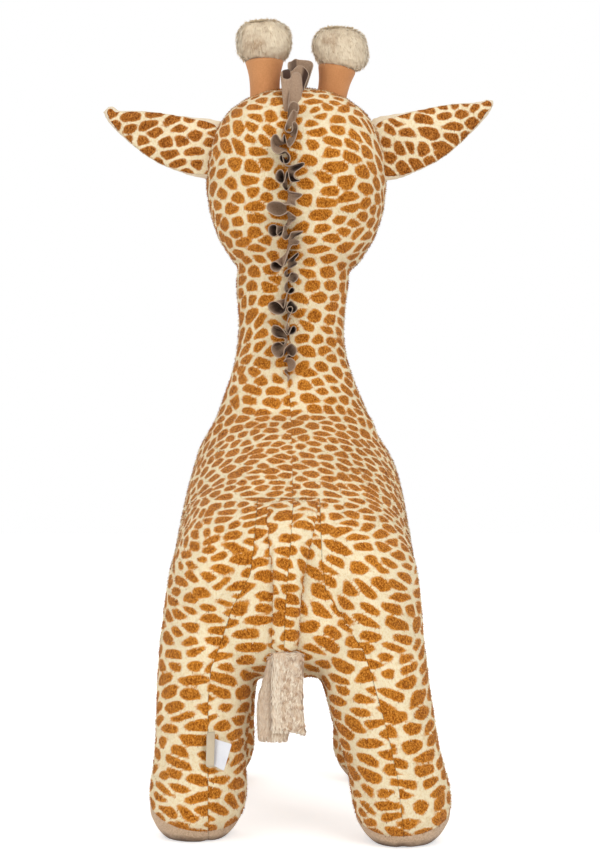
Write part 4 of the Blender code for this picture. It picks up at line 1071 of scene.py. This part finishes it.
def sew_ear(side):
    """A stuffed flat ear: spotted behind, with a lining in front that shows as a pale edge."""
    back_node, lining_node = "ear_" + side, f"ear_{side}_lining"
    ob = shapes_joined("ear_shape", [back_node, lining_node], EAR_SWELL)
    sign = 1 if side == "left" else -1
    outward = Vector((sign * math.cos(EAR_SWEEP), -math.sin(EAR_SWEEP), 0))
    facing = Vector((-outward.y * sign, outward.x * sign, 0))
    root = EAR_ROOTS[side]
    column, row = EAR_TIPS[side]
    tip = unseen(column, row, root.y + outward.y * EAR_REACH) + facing * 0.0005
    bm = bmesh_of(ob)
    shape = Matrix.Translation(tip) @ facing.to_track_quat("Z", "Y").to_matrix().to_4x4()
    shape = shape @ Matrix.Diagonal(EAR_TIP)
    bmesh.ops.create_uvsphere(bm, u_segments=24, v_segments=12, radius=1.0, matrix=shape)
    put_back(bm, ob)
    recut(ob, EAR_VOXEL)
    faired(ob, EAR_PASSES)
    co = places_of(ob)
    out = (co - np.array(root)) @ np.array(outward)
    set_places(ob, co - np.array(outward) * (EAR_TUCK * smooth_step(TUCK_REACH, 0.0, out))[:, None])
    depth = (places_of(ob) - np.array(root)) @ np.array(facing)
    held = np.clip(1.3 * np.exp(-((depth / EAR_RIM) ** 2)), 0, 1)
    stuffed(ob, held, EAR_FILL)
    finer(ob)
    bm = bmesh_of(ob)
    bpy.data.objects.remove(ob)
    edge = root + facing * EAR_SEAM
    bmesh.ops.bisect_plane(bm, geom=whole(bm), dist=WELD, plane_co=edge, plane_no=facing)
    ahead = [face for face in bm.faces if (face.calc_center_median() - edge).dot(facing) < 0]
    lining = new_piece(f"ear_{side}_lining_velour", parted(bm, ahead, "lining"), LINING_VELOUR)
    finish_piece(lining, side + "_ear", [lining_node])
    back = new_piece(f"ear_{side}_plush", mesh_of(bm, "ear"), EAR_PLUSH)
    print_alike(back, FAR, EAR_SPOTS, PRINT_SEEDS[side])
    finish_piece(back, side + "_ear", [back_node])
    spotted_pile(back, f"ear_{side}_pile", side + "_ear", PILE_SEEDS[side], EAR_PILE)


# Tail
TAIL_SPAN = (0.40, 0.22)  # heights between which it drifts aside
TAIL_SEAM_X = 0.0005
TAIL_SEAM_MM, TAIL_SEAM_DEPTH = 4.0, 0.0018
TAIL_SPOTS = (0.0158, 2.0)


def sew_tail():
    """The spotted flap with its centre seam."""
    ob = shapes_joined("tail_plush", ["tail"], TAIL_SWELL)
    recut(ob, TAIL_VOXEL)
    faired(ob, TAIL_PASSES)

    def from_centre(co):
        return 1000 * (co[:, 0] - TAIL_DRIFT_X * smooth_step(*TAIL_SPAN, co[:, 2]) - TAIL_SEAM_X)

    co = places_of(ob)
    outer = normals_of(ob)[:, 1] > 0
    valley = np.exp(-((from_centre(co) / TAIL_SEAM_MM) ** 2)) * outer
    set_places(ob, co - normals_of(ob) * (valley * TAIL_SEAM_DEPTH)[:, None])
    stuffed(ob, np.clip(valley * 1.2, 0, 1), TAIL_FILL)
    finer(ob)
    ob.data.materials.append(PLUSH)
    print_alike(ob, from_centre(places_of(ob)), TAIL_SPOTS, PRINT_SEEDS["tail"])
    finish_piece(ob, "tail_flap", ["tail"])
    spotted_pile(ob, "tail_pile", "tail_flap", PILE_SEEDS["tail"], PLUSH_PILE)


# Tuft
TUFT_FRONT = (271.8, 302.5, 731, 652.5)  # pixels: the left and right columns, the lowest and highest rows
TUFT_BEHIND = (257.5, 288, 740, 656)
TUFT_SPAN = (0.216, 0.126)  # heights between which its waves grow
TUFT_FREE = (0.165, 0.120)  # heights between which its corner and end come free
TUFT_WAVES = (0.0008, 0.0012, 0.0020)  # along X, Y and Z
LEFT_IN = 0.012  # how far the left edge is drawn in at the top
CORNER_X, CORNER_WIDTH = -0.0100, 0.005
CORNER_ASIDE, CORNER_DOWN = 0.0032, 0.0035
FRONT_EDGE_X = 0.0242  # of the fold in front; what lies left of it is behind
TUFT_LENGTH, TUFT_SPACING = 0.0050, 0.00125  # of its strands


def hanging(places):
    """Downwards, with crinkles across the right part of the tuft."""
    crinkled = smooth_step(0.020, 0.008, places[:, 0])
    ways = np.zeros_like(places)
    ways[:, 0] = 2.8 * crinkled * slow_noise(places * (1.0, 1.0, 1.4), 150.0, 4.0)
    ways[:, 2] = -1.0
    return ways


def slab(bm, left, right, low, top, back, front):
    """A soft-edged block between two pixel columns and rows and two depths."""
    verts = bmesh.ops.create_cube(bm, size=1.0)["verts"]
    for vert in verts:
        depth = front if vert.co.y > 0 else back
        vert.co = unseen(left if vert.co.x > 0 else right, top if vert.co.z > 0 else low, depth)
    edges = list({edge for vert in verts for edge in vert.link_edges})
    bmesh.ops.bevel(bm, geom=edges, offset=0.003, offset_type="OFFSET", segments=3, profile=0.5,
                    affect="EDGES", material=-1)


def hang_tuft():
    """A folded strip of long fur: the fold behind hangs lower, and one corner of the front points down."""
    low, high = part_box("tail_tuft")
    middle = (low[1] + high[1]) / 2
    bm = bmesh.new()
    slab(bm, *TUFT_FRONT, middle - 0.002, high[1] + 0.001)
    slab(bm, *TUFT_BEHIND, low[1] + 0.002, middle + 0.001)
    bmesh.ops.recalc_face_normals(bm, faces=bm.faces[:])
    ob = new_piece("tuft_fur", mesh_of(bm, "tuft"), TUFT_GROUND)
    recut(ob, TUFT_VOXEL)
    co = places_of(ob)
    wave = np.array([noise.noise(Vector((place[0] * 60, 0.0, place[2] * 16))) for place in co])
    down = smooth_step(*TUFT_SPAN, co[:, 2])
    hung = smooth_step(*TUFT_FREE, co[:, 2])
    left = smooth_step(0.022, 0.036, co[:, 0]) * smooth_step(0.150, 0.216, co[:, 2])
    corner = np.exp(-(((co[:, 0] - CORNER_X) / CORNER_WIDTH) ** 2)) * (co[:, 1] > middle)
    co[:, 0] += TUFT_WAVES[0] * wave - LEFT_IN * left - CORNER_ASIDE * corner * hung
    co[:, 1] += TUFT_WAVES[1] * wave * down
    co[:, 2] -= hung * (CORNER_DOWN * corner + TUFT_WAVES[2] * wave)
    set_places(ob, co)
    faired(ob, TUFT_PASSES)
    finish_piece(ob, "tuft", ["tail_tuft"])

    def shade_of(places):
        # Painted shade: darker on the fold behind and on the crinkled right part of the front, whose ripples
        # are strongest there, for the shade in its creases.
        behind = (places[:, 1] < middle) | (places[:, 0] > FRONT_EDGE_X)
        ripples = slow_noise(places * (1.6, 1.0, 1.0), 190.0)
        rough = smooth_step(0.019, 0.009, places[:, 0]) * (1 - behind)
        return FUR_TONE - 0.42 * behind + 1.3 * (ripples - 0.12) * (0.2 + 0.8 * rough) - 0.20 * rough

    seed, strand = FUR_SEEDS["tuft"], (TUFT_LENGTH, TUFT_SPACING)
    long_fur(ob, "tuft_strands", "tuft", seed, *strand, hanging, shade_of, TUFT_FUR, 0.5, 0.16)


# Horns
STALK_ROWS = [  # radius and height of the stalk's profile
    (0.0215, -0.006), (0.0202, 0.004), (0.0195, 0.014), (0.0196, 0.026), (0.0204, 0.037),
    (0.0222, 0.046), (0.0250, 0.055), (0.0258, 0.060),
]
CAP_SQUARENESS = 3.2  # the power of the round form that the cap is drawn towards
CAP_BOXINESS = 0.6  # how much of the way it goes
CAP_LUMPS = (0.022, 0.0026)  # size and depth
CROWN_X = 0.010  # of the point that a cap's fur is combed from, left of its middle
CAP_LENGTH, CAP_SPACING = 0.0060, 0.0012  # of its strands
PATCH_SIZE = 0.013  # of the darker place


def sew_horn(side):
    """A velour stalk that widens upwards, with a fluffy cap; gives what stands beside the mane."""
    root, tilt = HORNS[side]
    turn = Matrix.Translation(root) @ Matrix.Rotation(tilt, 4, "Y")
    bm = turned(STALK_ROWS, 28)
    bmesh.ops.holes_fill(bm, edges=[edge for edge in bm.edges if edge.is_boundary])
    set_in_place(bm, turn)
    stalk = new_piece(f"horn_{side}_velour", mesh_of(bm, "stalk"), HORN_VELOUR)
    finer(stalk)
    finish_piece(stalk, "giraffe", ["horn_" + side])
    cap = shapes_joined(f"horn_{side}_cap", ["horn_cap_" + side], CAP_SWELL)
    recut(cap, CAP_VOXEL)
    faired(cap, CAP_PASSES)
    low, high = (np.array(corner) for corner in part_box("horn_cap_" + side))
    middle, half = (low + high) / 2, (high - low) / 2
    part = (places_of(cap) - middle) / half
    round_size = np.linalg.norm(part, axis=1)
    square_size = (np.abs(part) ** CAP_SQUARENESS).sum(axis=1) ** (1 / CAP_SQUARENESS)
    grown = 1 + CAP_BOXINESS * (round_size / np.maximum(square_size, 1e-6) - 1)
    set_places(cap, middle + part * grown[:, None] * half)
    set_places(cap, lumps(places_of(cap), normals_of(cap), *CAP_LUMPS, LUMP_SEEDS[side]))
    finer(cap)
    cap.data.materials.append(FUR_GROUND)
    finish_piece(cap, "giraffe", ["horn_cap_" + side])
    crown = np.array((middle[0] + CROWN_X, middle[1], high[2]))
    (column, row), depth = CAP_PATCHES[side]
    brown = np.array(seen_at(ray_target(cap), column, row))

    def from_crown(places):
        return places - crown + np.array((0.0, 0.0, -0.02))

    def shade_of(places):
        away = np.linalg.norm((places - brown) * (1.0, 0.5, 1.4), axis=1)
        patch = np.exp(-((away / PATCH_SIZE) ** 2))
        patch *= 1 + 1.6 * slow_noise(places, 90.0)
        return FUR_TONE - depth * patch + 0.40 * slow_noise(places, 170.0)

    name, seed, strand = f"horn_{side}_strands", FUR_SEEDS[side], (CAP_LENGTH, CAP_SPACING)
    long_fur(cap, name, "giraffe", seed, *strand, from_crown, shade_of, FUR, 0.25, 0.20)
    return [ray_target(stalk), ray_target(cap)]


# Mane

# The forelock's free edge: pixels and depth in millimetres, the pixel where it is sewn to the crown (a row
# of 0 is behind the crown, where the photograph doesn't see it), and how much light gets in below the edge
FORELOCK = [
    (304, 93, -50, 304, 0, 0.0), (308, 82, -52, 305, 0, 0.0), (311, 72, -56, 306, 0, 0.0),
    (313.5, 65, -60, 306, 0, 0.5), (311, 61, -65, 306, 0, 0.8), (305, 60, -69, 303, 0, 0.8),
    (298, 59.5, -71, 299, 0, 0.7), (295, 58.5, -66, 297, 0, 0.2), (291, 61.5, -58, 295, 0, 0.2),
    (288, 62, -50, 293, 0, 0.4), (288, 68, -46, 292, 0, 0.3), (290, 72, -43, 293, 0, 0.3),
    (294, 69, -43, 295, 0, 0.8), (297, 66, -45, 297, 0, 0.8), (302, 65.5, -46, 299, 0, 0.4),
    (306, 69, -43, 301, 0, 0.0), (309, 74, -38, 303, 0, 0.0), (307, 80, -34, 303, 0, 0.0),
    (304.5, 87, -31, 303, 0, 0.0), (303, 94, -28, 302, 0, 0.4), (302, 84, -26, 301, 99, 1.0),
    (301, 75, -25, 300, 101, 1.0), (297, 72, -19, 298, 104, 1.0), (292.5, 73.5, -18, 295, 107, 0.8),
    (291, 77.5, -11, 292, 110, 0.6), (287, 79.3, -4, 289, 112, 1.0), (282.5, 77.5, -4, 286, 113, 1.0),
    (280.3, 73.5, -11, 284, 112, 1.0), (283, 70.3, -21, 285, 109, 0.0), (287, 69.6, -25, 287, 107, 0.0),
    (290.5, 72, -22, 289, 110, 0.0),
]

# The strip's free edge below it, fold by fold: the rows between which the fold is sewn, how far it stands
# off the nape in millimetres, and its pixels
MANE_FOLDS = [
    (120, 128, 14, [(288, 109), (289, 104), (293, 101), (298, 103), (299, 109), (296, 112), (293, 109)]),
    (130, 138, 15, [(285, 126), (286, 131), (291, 132), (293, 128), (292, 123), (295, 121)]),
    (136, 142, 12, [(298, 126), (297, 133), (295, 140), (291, 146), (288, 147), (286, 140), (284, 133)]),
    (143, 153, 24, [
        (281, 141), (278, 135), (274, 134), (271, 139), (271, 147), (274, 152), (279, 154), (283, 151),
    ]),
    (154, 162, 24, [(286, 151), (290, 155), (290, 161), (286, 164), (281, 162), (279, 157), (282, 154)]),
    (163, 170, 24, [(284, 164), (289, 166), (296, 164), (303, 162), (305, 164), (301, 168), (296, 171)]),
    (170, 175, 22, [(294, 175), (296, 179), (301, 180), (296, 182), (291, 182), (289, 177), (288, 171)]),
    (176, 184, 23, [
        (286, 172), (285, 178), (283, 183), (278, 182), (275, 177), (277, 171), (281, 169), (284, 173),
    ]),
    (185, 190, 12, [(284, 181), (282, 185), (286, 191), (289, 188), (292, 183)]),
    (191, 199, 18, [(288, 190), (294, 192), (303, 194), (299, 198), (295, 201), (296, 206), (291, 204)]),
    (200, 214, 25, [
        (286, 205), (281, 202), (273, 201), (267, 204), (267, 210), (272, 214), (279, 216), (285, 213),
    ]),
    (215, 221, 16, [(288, 211), (292, 214), (297, 218), (292, 222), (288, 227)]),
    (222, 232, 24, [
        (284, 225), (283, 232), (280, 237), (276, 233), (277, 226), (273, 224), (268, 227), (269, 234),
        (275, 237),
    ]),
    (232, 238, 22, [(282, 230), (282, 237), (286, 240), (290, 236), (291, 232), (298, 231), (304, 231)]),
    (239, 246, 15, [(299, 235), (293, 238), (300, 241), (297, 245), (291, 245)]),
    (247, 256, 26, [
        (285, 262), (282, 268), (278, 272), (273, 271), (270, 267), (272, 262), (277, 262), (281, 266),
    ]),
    (257, 266, 23, [
        (285, 265), (287, 261), (292, 257), (298, 252), (299, 255), (294, 260), (298, 263), (293, 267),
    ]),
    (268, 278, 23, [(288, 269), (284, 272), (285, 277), (289, 277), (291, 272), (296, 273), (299, 277)]),
    (279, 292, 22, [
        (294, 283), (289, 280), (285, 284), (284, 290), (288, 294), (293, 293), (295, 289), (291, 287),
    ]),
    (293, 306, 25, [
        (286, 296), (284, 309), (281, 305), (275, 301), (269, 303), (268, 308), (272, 313), (279, 315),
        (285, 312),
    ]),
    (307, 316, 22, [
        (287, 304), (291, 300), (295, 304), (298, 308), (294, 313), (289, 312), (287, 308), (291, 306),
        (293, 309),
    ]),
    (317, 330, 22, [(289, 317), (286, 325), (286, 332), (291, 335), (296, 332), (296, 327), (292, 326)]),
    (331, 339, 25, [
        (288, 336), (284, 331), (279, 326), (273, 325), (271, 330), (273, 335), (279, 338), (285, 338),
    ]),
    (340, 352, 24, [
        (284, 346), (280, 342), (274, 343), (271, 348), (273, 354), (278, 358), (283, 356), (284, 350),
    ]),
    (352, 360, 22, [(286, 347), (291, 343), (296, 347), (297, 352), (293, 357), (288, 354), (286, 358)]),
    (361, 372, 20, [(283, 362), (287, 358), (293, 359), (296, 364), (294, 369), (289, 372), (286, 368)]),
    (373, 384, 6, [(284, 372), (290, 376), (288, 381)]),
]
NAPE_COLUMN = 287.5  # of the line that the strip is sewn along
MANE_ROWS = 6  # of vertices, from the sewn edge to the free one
FELT_THICKNESS = 0.0011
ABOVE_HEAD = 1.2  # a height
SPREAD_ROW, SPREAD = 140, 0.55  # above this row the sewn line follows the folds aside by this share
ROLL = 2.2  # how round the strip leaves its seam
TUCKED = 0.001  # how far its sewn edge sinks into the plush
AIR_REACH = 0.04  # how far off another piece still keeps light out of a fold
BY_SEAM, SEAM_AIR = 0.35, 0.45  # up to where the strip's painted shade is lifted by its seam, and how light it stays there
BY_CUT = 0.93  # from where a hollow's painted shade fades towards the cut edge


def curved(points, finer_by):
    """Points along a smooth line through the given ones."""
    points = np.array(points, dtype=float)
    ends = np.concatenate((2 * points[:1] - points[1:2], points, 2 * points[-1:] - points[-2:-1]))
    line = []
    for a, b, c, d in zip(ends, ends[1:], ends[2:], ends[3:]):
        for t in np.arange(finer_by) / finer_by:
            bend = (2 * a - 5 * b + 4 * c - d) * t**2 + (3 * b - a - 3 * c + d) * t**3
            line.append(0.5 * (2 * b + (c - a) * t + bend))
    line.append(points[-1])
    return np.array(line)


def openness(ob, targets, reach, rays=20):
    """The share of open air that each vertex faces within reach."""
    rng = np.random.default_rng(3)
    ways = rng.normal(size=(rays, 3))
    ways /= np.linalg.norm(ways, axis=1, keepdims=True)
    shares = []
    for place, outward in zip(places_of(ob), normals_of(ob)):
        start = Vector(place + outward * 0.0008)
        open_ways = 0
        for way in ways:
            towards = Vector(outward * 1.05 + way).normalized()
            open_ways += not any(target.ray_cast(start, towards, reach)[0] for target in targets)
        shares.append(open_ways / rays)
    return np.array(shares)


def gather_mane(target, neighbours):
    """A felt strip, gathered where it is sewn to the nape, so that its free edge rolls into loops."""
    sewn, free = [], []
    for column, row, depth, base_column, base_row, _ in FORELOCK:
        free.append(unseen(column, row, depth / 1000))
        if base_row:
            sewn.append(seen_at(target, base_column, base_row))
        else:
            above = unseen(base_column, 90, depth / 1000)
            above.z = ABOVE_HEAD
            sewn.append(target.ray_cast(above, Vector((0, 0, -1)))[0])
    for first, last, stand, pixels in MANE_FOLDS:
        for i, (column, row) in enumerate(pixels):
            base_row = first + (last - first) * (i + 0.5) / len(pixels)
            spread = SPREAD if row < SPREAD_ROW else 0.0
            base = seen_at(target, NAPE_COLUMN + spread * (column - NAPE_COLUMN), base_row)
            sewn.append(base)
            free.append(unseen(column, row, base.y + stand / 1000))
    sewn, free = curved(sewn, 2), curved(free, 2)
    hollow = [1.0 - row[5] for row in FORELOCK]
    hollow = np.interp(np.arange(len(sewn)), 2 * np.arange(len(FORELOCK) + 1), hollow + [0.0])
    bm = bmesh.new()
    columns = len(sewn)
    bmesh.ops.create_grid(bm, x_segments=columns - 1, y_segments=MANE_ROWS - 1, size=1.0)
    edge, shade = bm.verts.layers.float.new("cut"), bm.verts.layers.float.new("hollow")
    for vert in bm.verts:
        k = round((vert.co.x + 1) / 2 * (columns - 1))
        up = (vert.co.y + 1) / 2
        rolled = 1 - (1 - up) ** ROLL
        base, gap = Vector(sewn[k]), Vector(free[k] - sewn[k])
        vert.co = base + Vector((gap.x * rolled, gap.y * up, gap.z * rolled))
        vert.co.y -= TUCKED * (1 - up)
        vert[edge], vert[shade] = up, hollow[k]
    area = sum(face.calc_area() for face in bm.faces)
    mane = new_piece("mane_felt", mesh_of(bm, "mane"), MANE_FELT)
    thickened(mane, "Felt", FELT_THICKNESS)
    cut, hollow = painted_on(mane, "cut"), painted_on(mane, "hollow")
    # The share of open air, painted into the felt's colour as shade in its folds and hollows.
    air = openness(mane, [ray_target(mane), target, *neighbours], AIR_REACH)
    air = np.maximum(air, SEAM_AIR * smooth_step(BY_SEAM, 0.0, cut))
    paint(mane, "open", air * (1 - hollow * smooth_step(1.0, BY_CUT, cut)))
    finish_piece(mane, "giraffe", ["mane"])


# Labels
TAPE_HALF_WIDTH = 0.0193  # along the seam
TAPE_REACH = 0.0090
TAPE_SUNK = 0.0006
TAPE_STAND = 0.0062  # off the seam, towards the camera
TAPE_TWIST, TAPE_LEAN = 0.0019, 0.12
TAPE_THICKNESS = 0.0006
CARE_CORNERS = [  # pixels of the photograph, and how far each stands off the seam
    (210, 764, 0.0005), (224, 771, 0.0090), (213, 738, 0.0005), (232, 744, 0.0080),
]
SATIN_THICKNESS = 0.0005
LABEL_PIXEL = (207, 749)  # where the tape comes out of the seam


def sew_labels(target):
    """A folded tape loop in the leg's seam, and a bare care label that hangs askew behind it."""
    seam = seen_at(target, *LABEL_PIXEL)
    bm = bmesh.new()
    bmesh.ops.create_grid(bm, x_segments=14, y_segments=6, size=1.0)
    for vert in bm.verts:
        along, height = vert.co.x, vert.co.y
        reach = TAPE_REACH * (1 - abs(along) ** 3) + 0.0006 * height
        twist = TAPE_TWIST * math.sin(along * math.pi / 2) * (1.0 + 0.5 * height)
        rise = TAPE_HALF_WIDTH * height + TAPE_LEAN * reach
        vert.co = seam + Vector((TAPE_SUNK - reach, TAPE_STAND + twist, rise))
    bmesh.ops.recalc_face_normals(bm, faces=bm.faces[:])
    loop = new_piece("tape_loop", mesh_of(bm, "tape_loop"), TAPE)
    thickened(loop, "Tape", TAPE_THICKNESS)
    finish_piece(loop, "labels", ["loop_label"])
    bm = bmesh.new()
    bmesh.ops.create_grid(bm, x_segments=8, y_segments=10, size=1.0)
    corners = [unseen(column, row, seam.y + stand) for column, row, stand in CARE_CORNERS]
    for vert in bm.verts:
        u, v = (vert.co.x + 1) / 2, (vert.co.y + 1) / 2
        low, high = corners[0].lerp(corners[1], u), corners[2].lerp(corners[3], u)
        vert.co = low.lerp(high, v)
        vert.co.y += 0.0012 * math.sin(u * 2.6 + v * 1.4) * u
    care = new_piece("care_label_satin", mesh_of(bm, "care"), LABEL)
    thickened(care, "Satin", SATIN_THICKNESS)
    finish_piece(care, "labels", ["care_label"])


# Face
EYE_AXIS = {"left": Vector((0.86, -0.50, 0.06)), "right": Vector((-0.86, -0.50, 0.06))}
EYE_ROWS = [  # radius and height of the dome's profile, before it is scaled
    (0.0, -0.002), (0.0116, -0.002), (0.0122, -0.0008), (0.0118, 0.0006), (0.0108, 0.0026),
    (0.0088, 0.0052), (0.0060, 0.0072), (0.0030, 0.0082), (0.0, 0.0085),
]
EYE_SCALE = 1.12
EYE_DEPTH = 0.004  # of the profile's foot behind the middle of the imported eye
PUPIL_EDGE = (0.0062, 0.0068)  # radii between which the colour changes
IRIS_EDGE = (0.0092, 0.0102)


def eye_plastic(name, middle, axis):
    """A dark brown iris round a black pupil, under a clear gloss."""
    material, w, shader = new_material(name, roughness=0.12, specular=0.25, coat=0.1)
    place = w.own_place()
    away = w.add("ShaderNodeVectorMath", {0: place, 1: tuple(middle)}, operation="SUBTRACT").outputs[0]
    across = w.add("ShaderNodeVectorMath", {0: away, 1: tuple(axis)}, operation="CROSS_PRODUCT").outputs[0]
    radius = w.add("ShaderNodeVectorMath", {0: across}, operation="LENGTH").outputs["Value"]
    rays = w.grain(place, 900.0, 2.0, 0.6)
    iris = w.mixed(rays, srgb(58, 30, 12), srgb(92, 52, 24))
    colour = w.mixed(w.span(radius, *PUPIL_EDGE), (0.004, 0.003, 0.003), iris)
    colour = w.mixed(w.span(radius, *IRIS_EDGE), colour, (0.008, 0.006, 0.005))
    w.join(colour, shader["Base Color"])
    w.join(w.span(rays, 0.2, 0.8, 0.08, 0.14), shader["Roughness"])
    return material


def set_eye(side):
    """A glossy domed eye with a rim that presses into the plush."""
    low, high = (Vector(corner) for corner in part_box("eye_" + side))
    middle, axis = (low + high) / 2, EYE_AXIS[side].normalized()
    turn = axis.to_track_quat("Z", "Y").to_matrix().to_4x4() @ Matrix.Scale(EYE_SCALE, 4)
    turn = Matrix.Translation(middle - axis * EYE_DEPTH) @ turn
    bm = turned(EYE_ROWS, 32)
    bmesh.ops.remove_doubles(bm, verts=bm.verts[:], dist=WELD)
    set_in_place(bm, turn)
    eye = new_piece(f"eye_{side}_dome", mesh_of(bm, "eye"), eye_plastic("Eye plastic " + side, middle, axis))
    finer(eye)
    finish_piece(eye, "giraffe", ["eye_" + side])


THREAD_THICKNESS = 0.0008
THREAD_SUNK = 0.0006
MUZZLE_AHEAD = -0.6  # a Y in front of the face
NOSTRIL = (0.0042, 0.0014)  # half its width, and how far it rises
MOUTH = (0.0011, 0.0009)
LIP = (0.0010, 0.0009)


def satin_stitch(target, name, line, width, rise):
    """A padded row of stitches over the muzzle along a line of (x, z) places."""
    starts = [Vector((x, MUZZLE_AHEAD, z)) for x, z in curved(line, 8)]
    points = [target.ray_cast(start, Vector((0, 1, 0)))[:2] for start in starts]
    bm = bmesh.new()
    count = len(points)
    bmesh.ops.create_grid(bm, x_segments=count - 1, y_segments=6, size=1.0)
    for vert in bm.verts:
        k = round((vert.co.x + 1) / 2 * (count - 1))
        place, outward = points[k]
        before, after = points[max(k - 1, 0)][0], points[min(k + 1, count - 1)][0]
        aside = (after - before).cross(outward).normalized()
        ends = math.sin(math.pi * (0.06 + 0.88 * k / (count - 1))) ** 0.5
        across = vert.co.y
        risen = rise * (1 - across**2) * ends - THREAD_SUNK
        vert.co = place + aside * (across * width * ends) + outward * risen
    stitches = new_piece(name, mesh_of(bm, name), STITCH_THREAD)
    thickened(stitches, "Thread", THREAD_THICKNESS, -1.0)
    finish_piece(stitches, "giraffe", [])


def stitch_muzzle(target):
    """Nostrils and a small smile in thread: the photograph doesn't show the face, so this is a plain one."""
    for name, x in (("nostril_left_stitches", 0.0225), ("nostril_right_stitches", -0.0245)):
        lean = 0.0035 if x > 0 else -0.0035
        satin_stitch(target, name, [(x - lean, 0.7655), (x, 0.7720), (x + lean, 0.7785)], *NOSTRIL)
    smile = [(-0.030, 0.7250), (-0.021, 0.7160), (-0.0105, 0.7125), (-0.001, 0.7165)]
    mirrored = [(-0.002 - x, z) for x, z in reversed(smile)]
    satin_stitch(target, "mouth_stitches", smile + mirrored[1:], *MOUTH)
    satin_stitch(target, "lip_stitches", [(-0.001, 0.7170), (-0.001, 0.7250), (-0.001, 0.7330)], *LIP)


def dress_small_nodes():
    """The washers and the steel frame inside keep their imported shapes."""
    washer, w, shader = new_material("Washer plastic", roughness=0.5)
    colour = w.mixed(w.grain(w.own_place(), 400.0), srgb(228, 228, 224), srgb(240, 240, 236))
    w.join(colour, shader["Base Color"])
    steel, w, shader = new_material("Steel tube", roughness=0.35, metallic=1.0)
    brushed = w.grain(w.stretched(w.own_place(), (1.0, 1.0, 0.05)), 900.0)
    w.join(w.mixed(brushed, (0.42, 0.43, 0.45), (0.56, 0.57, 0.59)), shader["Base Color"])
    w.join(w.span(brushed, 0.3, 0.7, 0.28, 0.45), shader["Roughness"])
    for name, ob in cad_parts.items():
        chosen = washer if "washer" in name else steel if name.startswith("frame_") else None
        if chosen:
            ob.data.materials.clear()
            ob.data.materials.append(chosen)


# Light and floor
WHITE = (1.0, 1.0, 1.0, 1.0)
STUDIO_LIGHT = 0.60  # of the white surround, which the camera sees at full white
FLOOR_GLOW = 0.50  # what the floor adds where the camera sees it, so that it shows white round its shadow
FLOOR_HALF_SIDE = 6.0
LIT_PLACE = Vector((0, 0, 0.5))  # where the lamps point
LAMPS = [  # name, place, side and power
    ("Key", (-1.5, 2.4, 2.1), 1.6, 36.0),
    ("Fill", (1.9, 2.0, 1.1), 1.8, 19.0),
    ("Front", (0.9, -2.6, 1.7), 1.8, 24.0),
    ("Top", (0.0, 0.2, 2.8), 1.6, 6.0),
]


def set_light():
    world = bpy.data.worlds.new("Studio")
    bpy.context.scene.world = world
    world.use_nodes = True
    w = Wiring(world.node_tree)
    world.node_tree.nodes.clear()
    plain = w.add("ShaderNodeBackground", {"Color": WHITE, "Strength": STUDIO_LIGHT})
    white = w.add("ShaderNodeBackground", {"Color": WHITE, "Strength": 1.0})
    both = w.add("ShaderNodeMixShader", {0: w.in_view(), 1: plain.outputs[0], 2: white.outputs[0]})
    w.add("ShaderNodeOutputWorld", {"Surface": both.outputs[0]})
    for name, place, size, power in LAMPS:
        lamp = bpy.data.lights.new(name, "AREA")
        lamp.size = size
        lamp.energy = power
        ob = bpy.data.objects.new(name, lamp)
        ob.location = place
        ob.rotation_euler = (LIT_PLACE - Vector(place)).to_track_quat("-Z", "Y").to_euler()
        bpy.context.scene.collection.objects.link(ob)


def lay_floor():
    bm = bmesh.new()
    bmesh.ops.create_grid(bm, x_segments=1, y_segments=1, size=FLOOR_HALF_SIDE)
    material = bpy.data.materials.new("Pale floor")
    material.use_nodes = True
    w = Wiring(material.node_tree)
    shader = material.node_tree.nodes["Principled BSDF"]
    shader.inputs["Roughness"].default_value = 0.9
    tone = w.mixed(w.grain(w.own_place(), 3.0), srgb(238, 238, 238), srgb(242, 242, 242))
    w.join(tone, shader.inputs["Base Color"])
    glow = w.add("ShaderNodeEmission", {"Color": WHITE})
    w.join(w.maths("MULTIPLY", w.in_view(), FLOOR_GLOW), glow.inputs["Strength"])
    both = w.add("ShaderNodeAddShader", {0: shader.outputs[0], 1: glow.outputs[0]})
    w.join(both.outputs[0], material.node_tree.nodes["Material Output"].inputs["Surface"])
    new_piece("floor", mesh_of(bm, "floor"), material)


def place_camera():
    lens = bpy.data.cameras.new("Camera")
    lens.sensor_width = SENSOR
    lens.lens = PHOTO_FOCUS / PHOTO_SIZE[1] * SENSOR
    camera = bpy.data.objects.new("Camera", lens)
    camera.location = CAMERA_PLACE
    camera.rotation_euler = (math.pi / 2, 0, math.pi)
    bpy.context.scene.collection.objects.link(camera)
    bpy.context.scene.camera = camera
    bpy.context.scene.view_settings.view_transform = "Standard"


place_camera()
set_light()
lay_floor()
cover, muzzle = sew_cover()
cover_target = ray_target(cover)
spotted_pile(cover, "cover_pile", "giraffe", PILE_SEEDS["cover"], PLUSH_PILE)
beside_mane = []
for each_side in ("left", "right"):
    sew_ear(each_side)
    beside_mane += sew_horn(each_side)
    set_eye(each_side)
sew_tail()
hang_tuft()
gather_mane(cover_target, beside_mane)
stitch_muzzle(ray_target(muzzle))
sew_labels(cover_target)
dress_small_nodes()
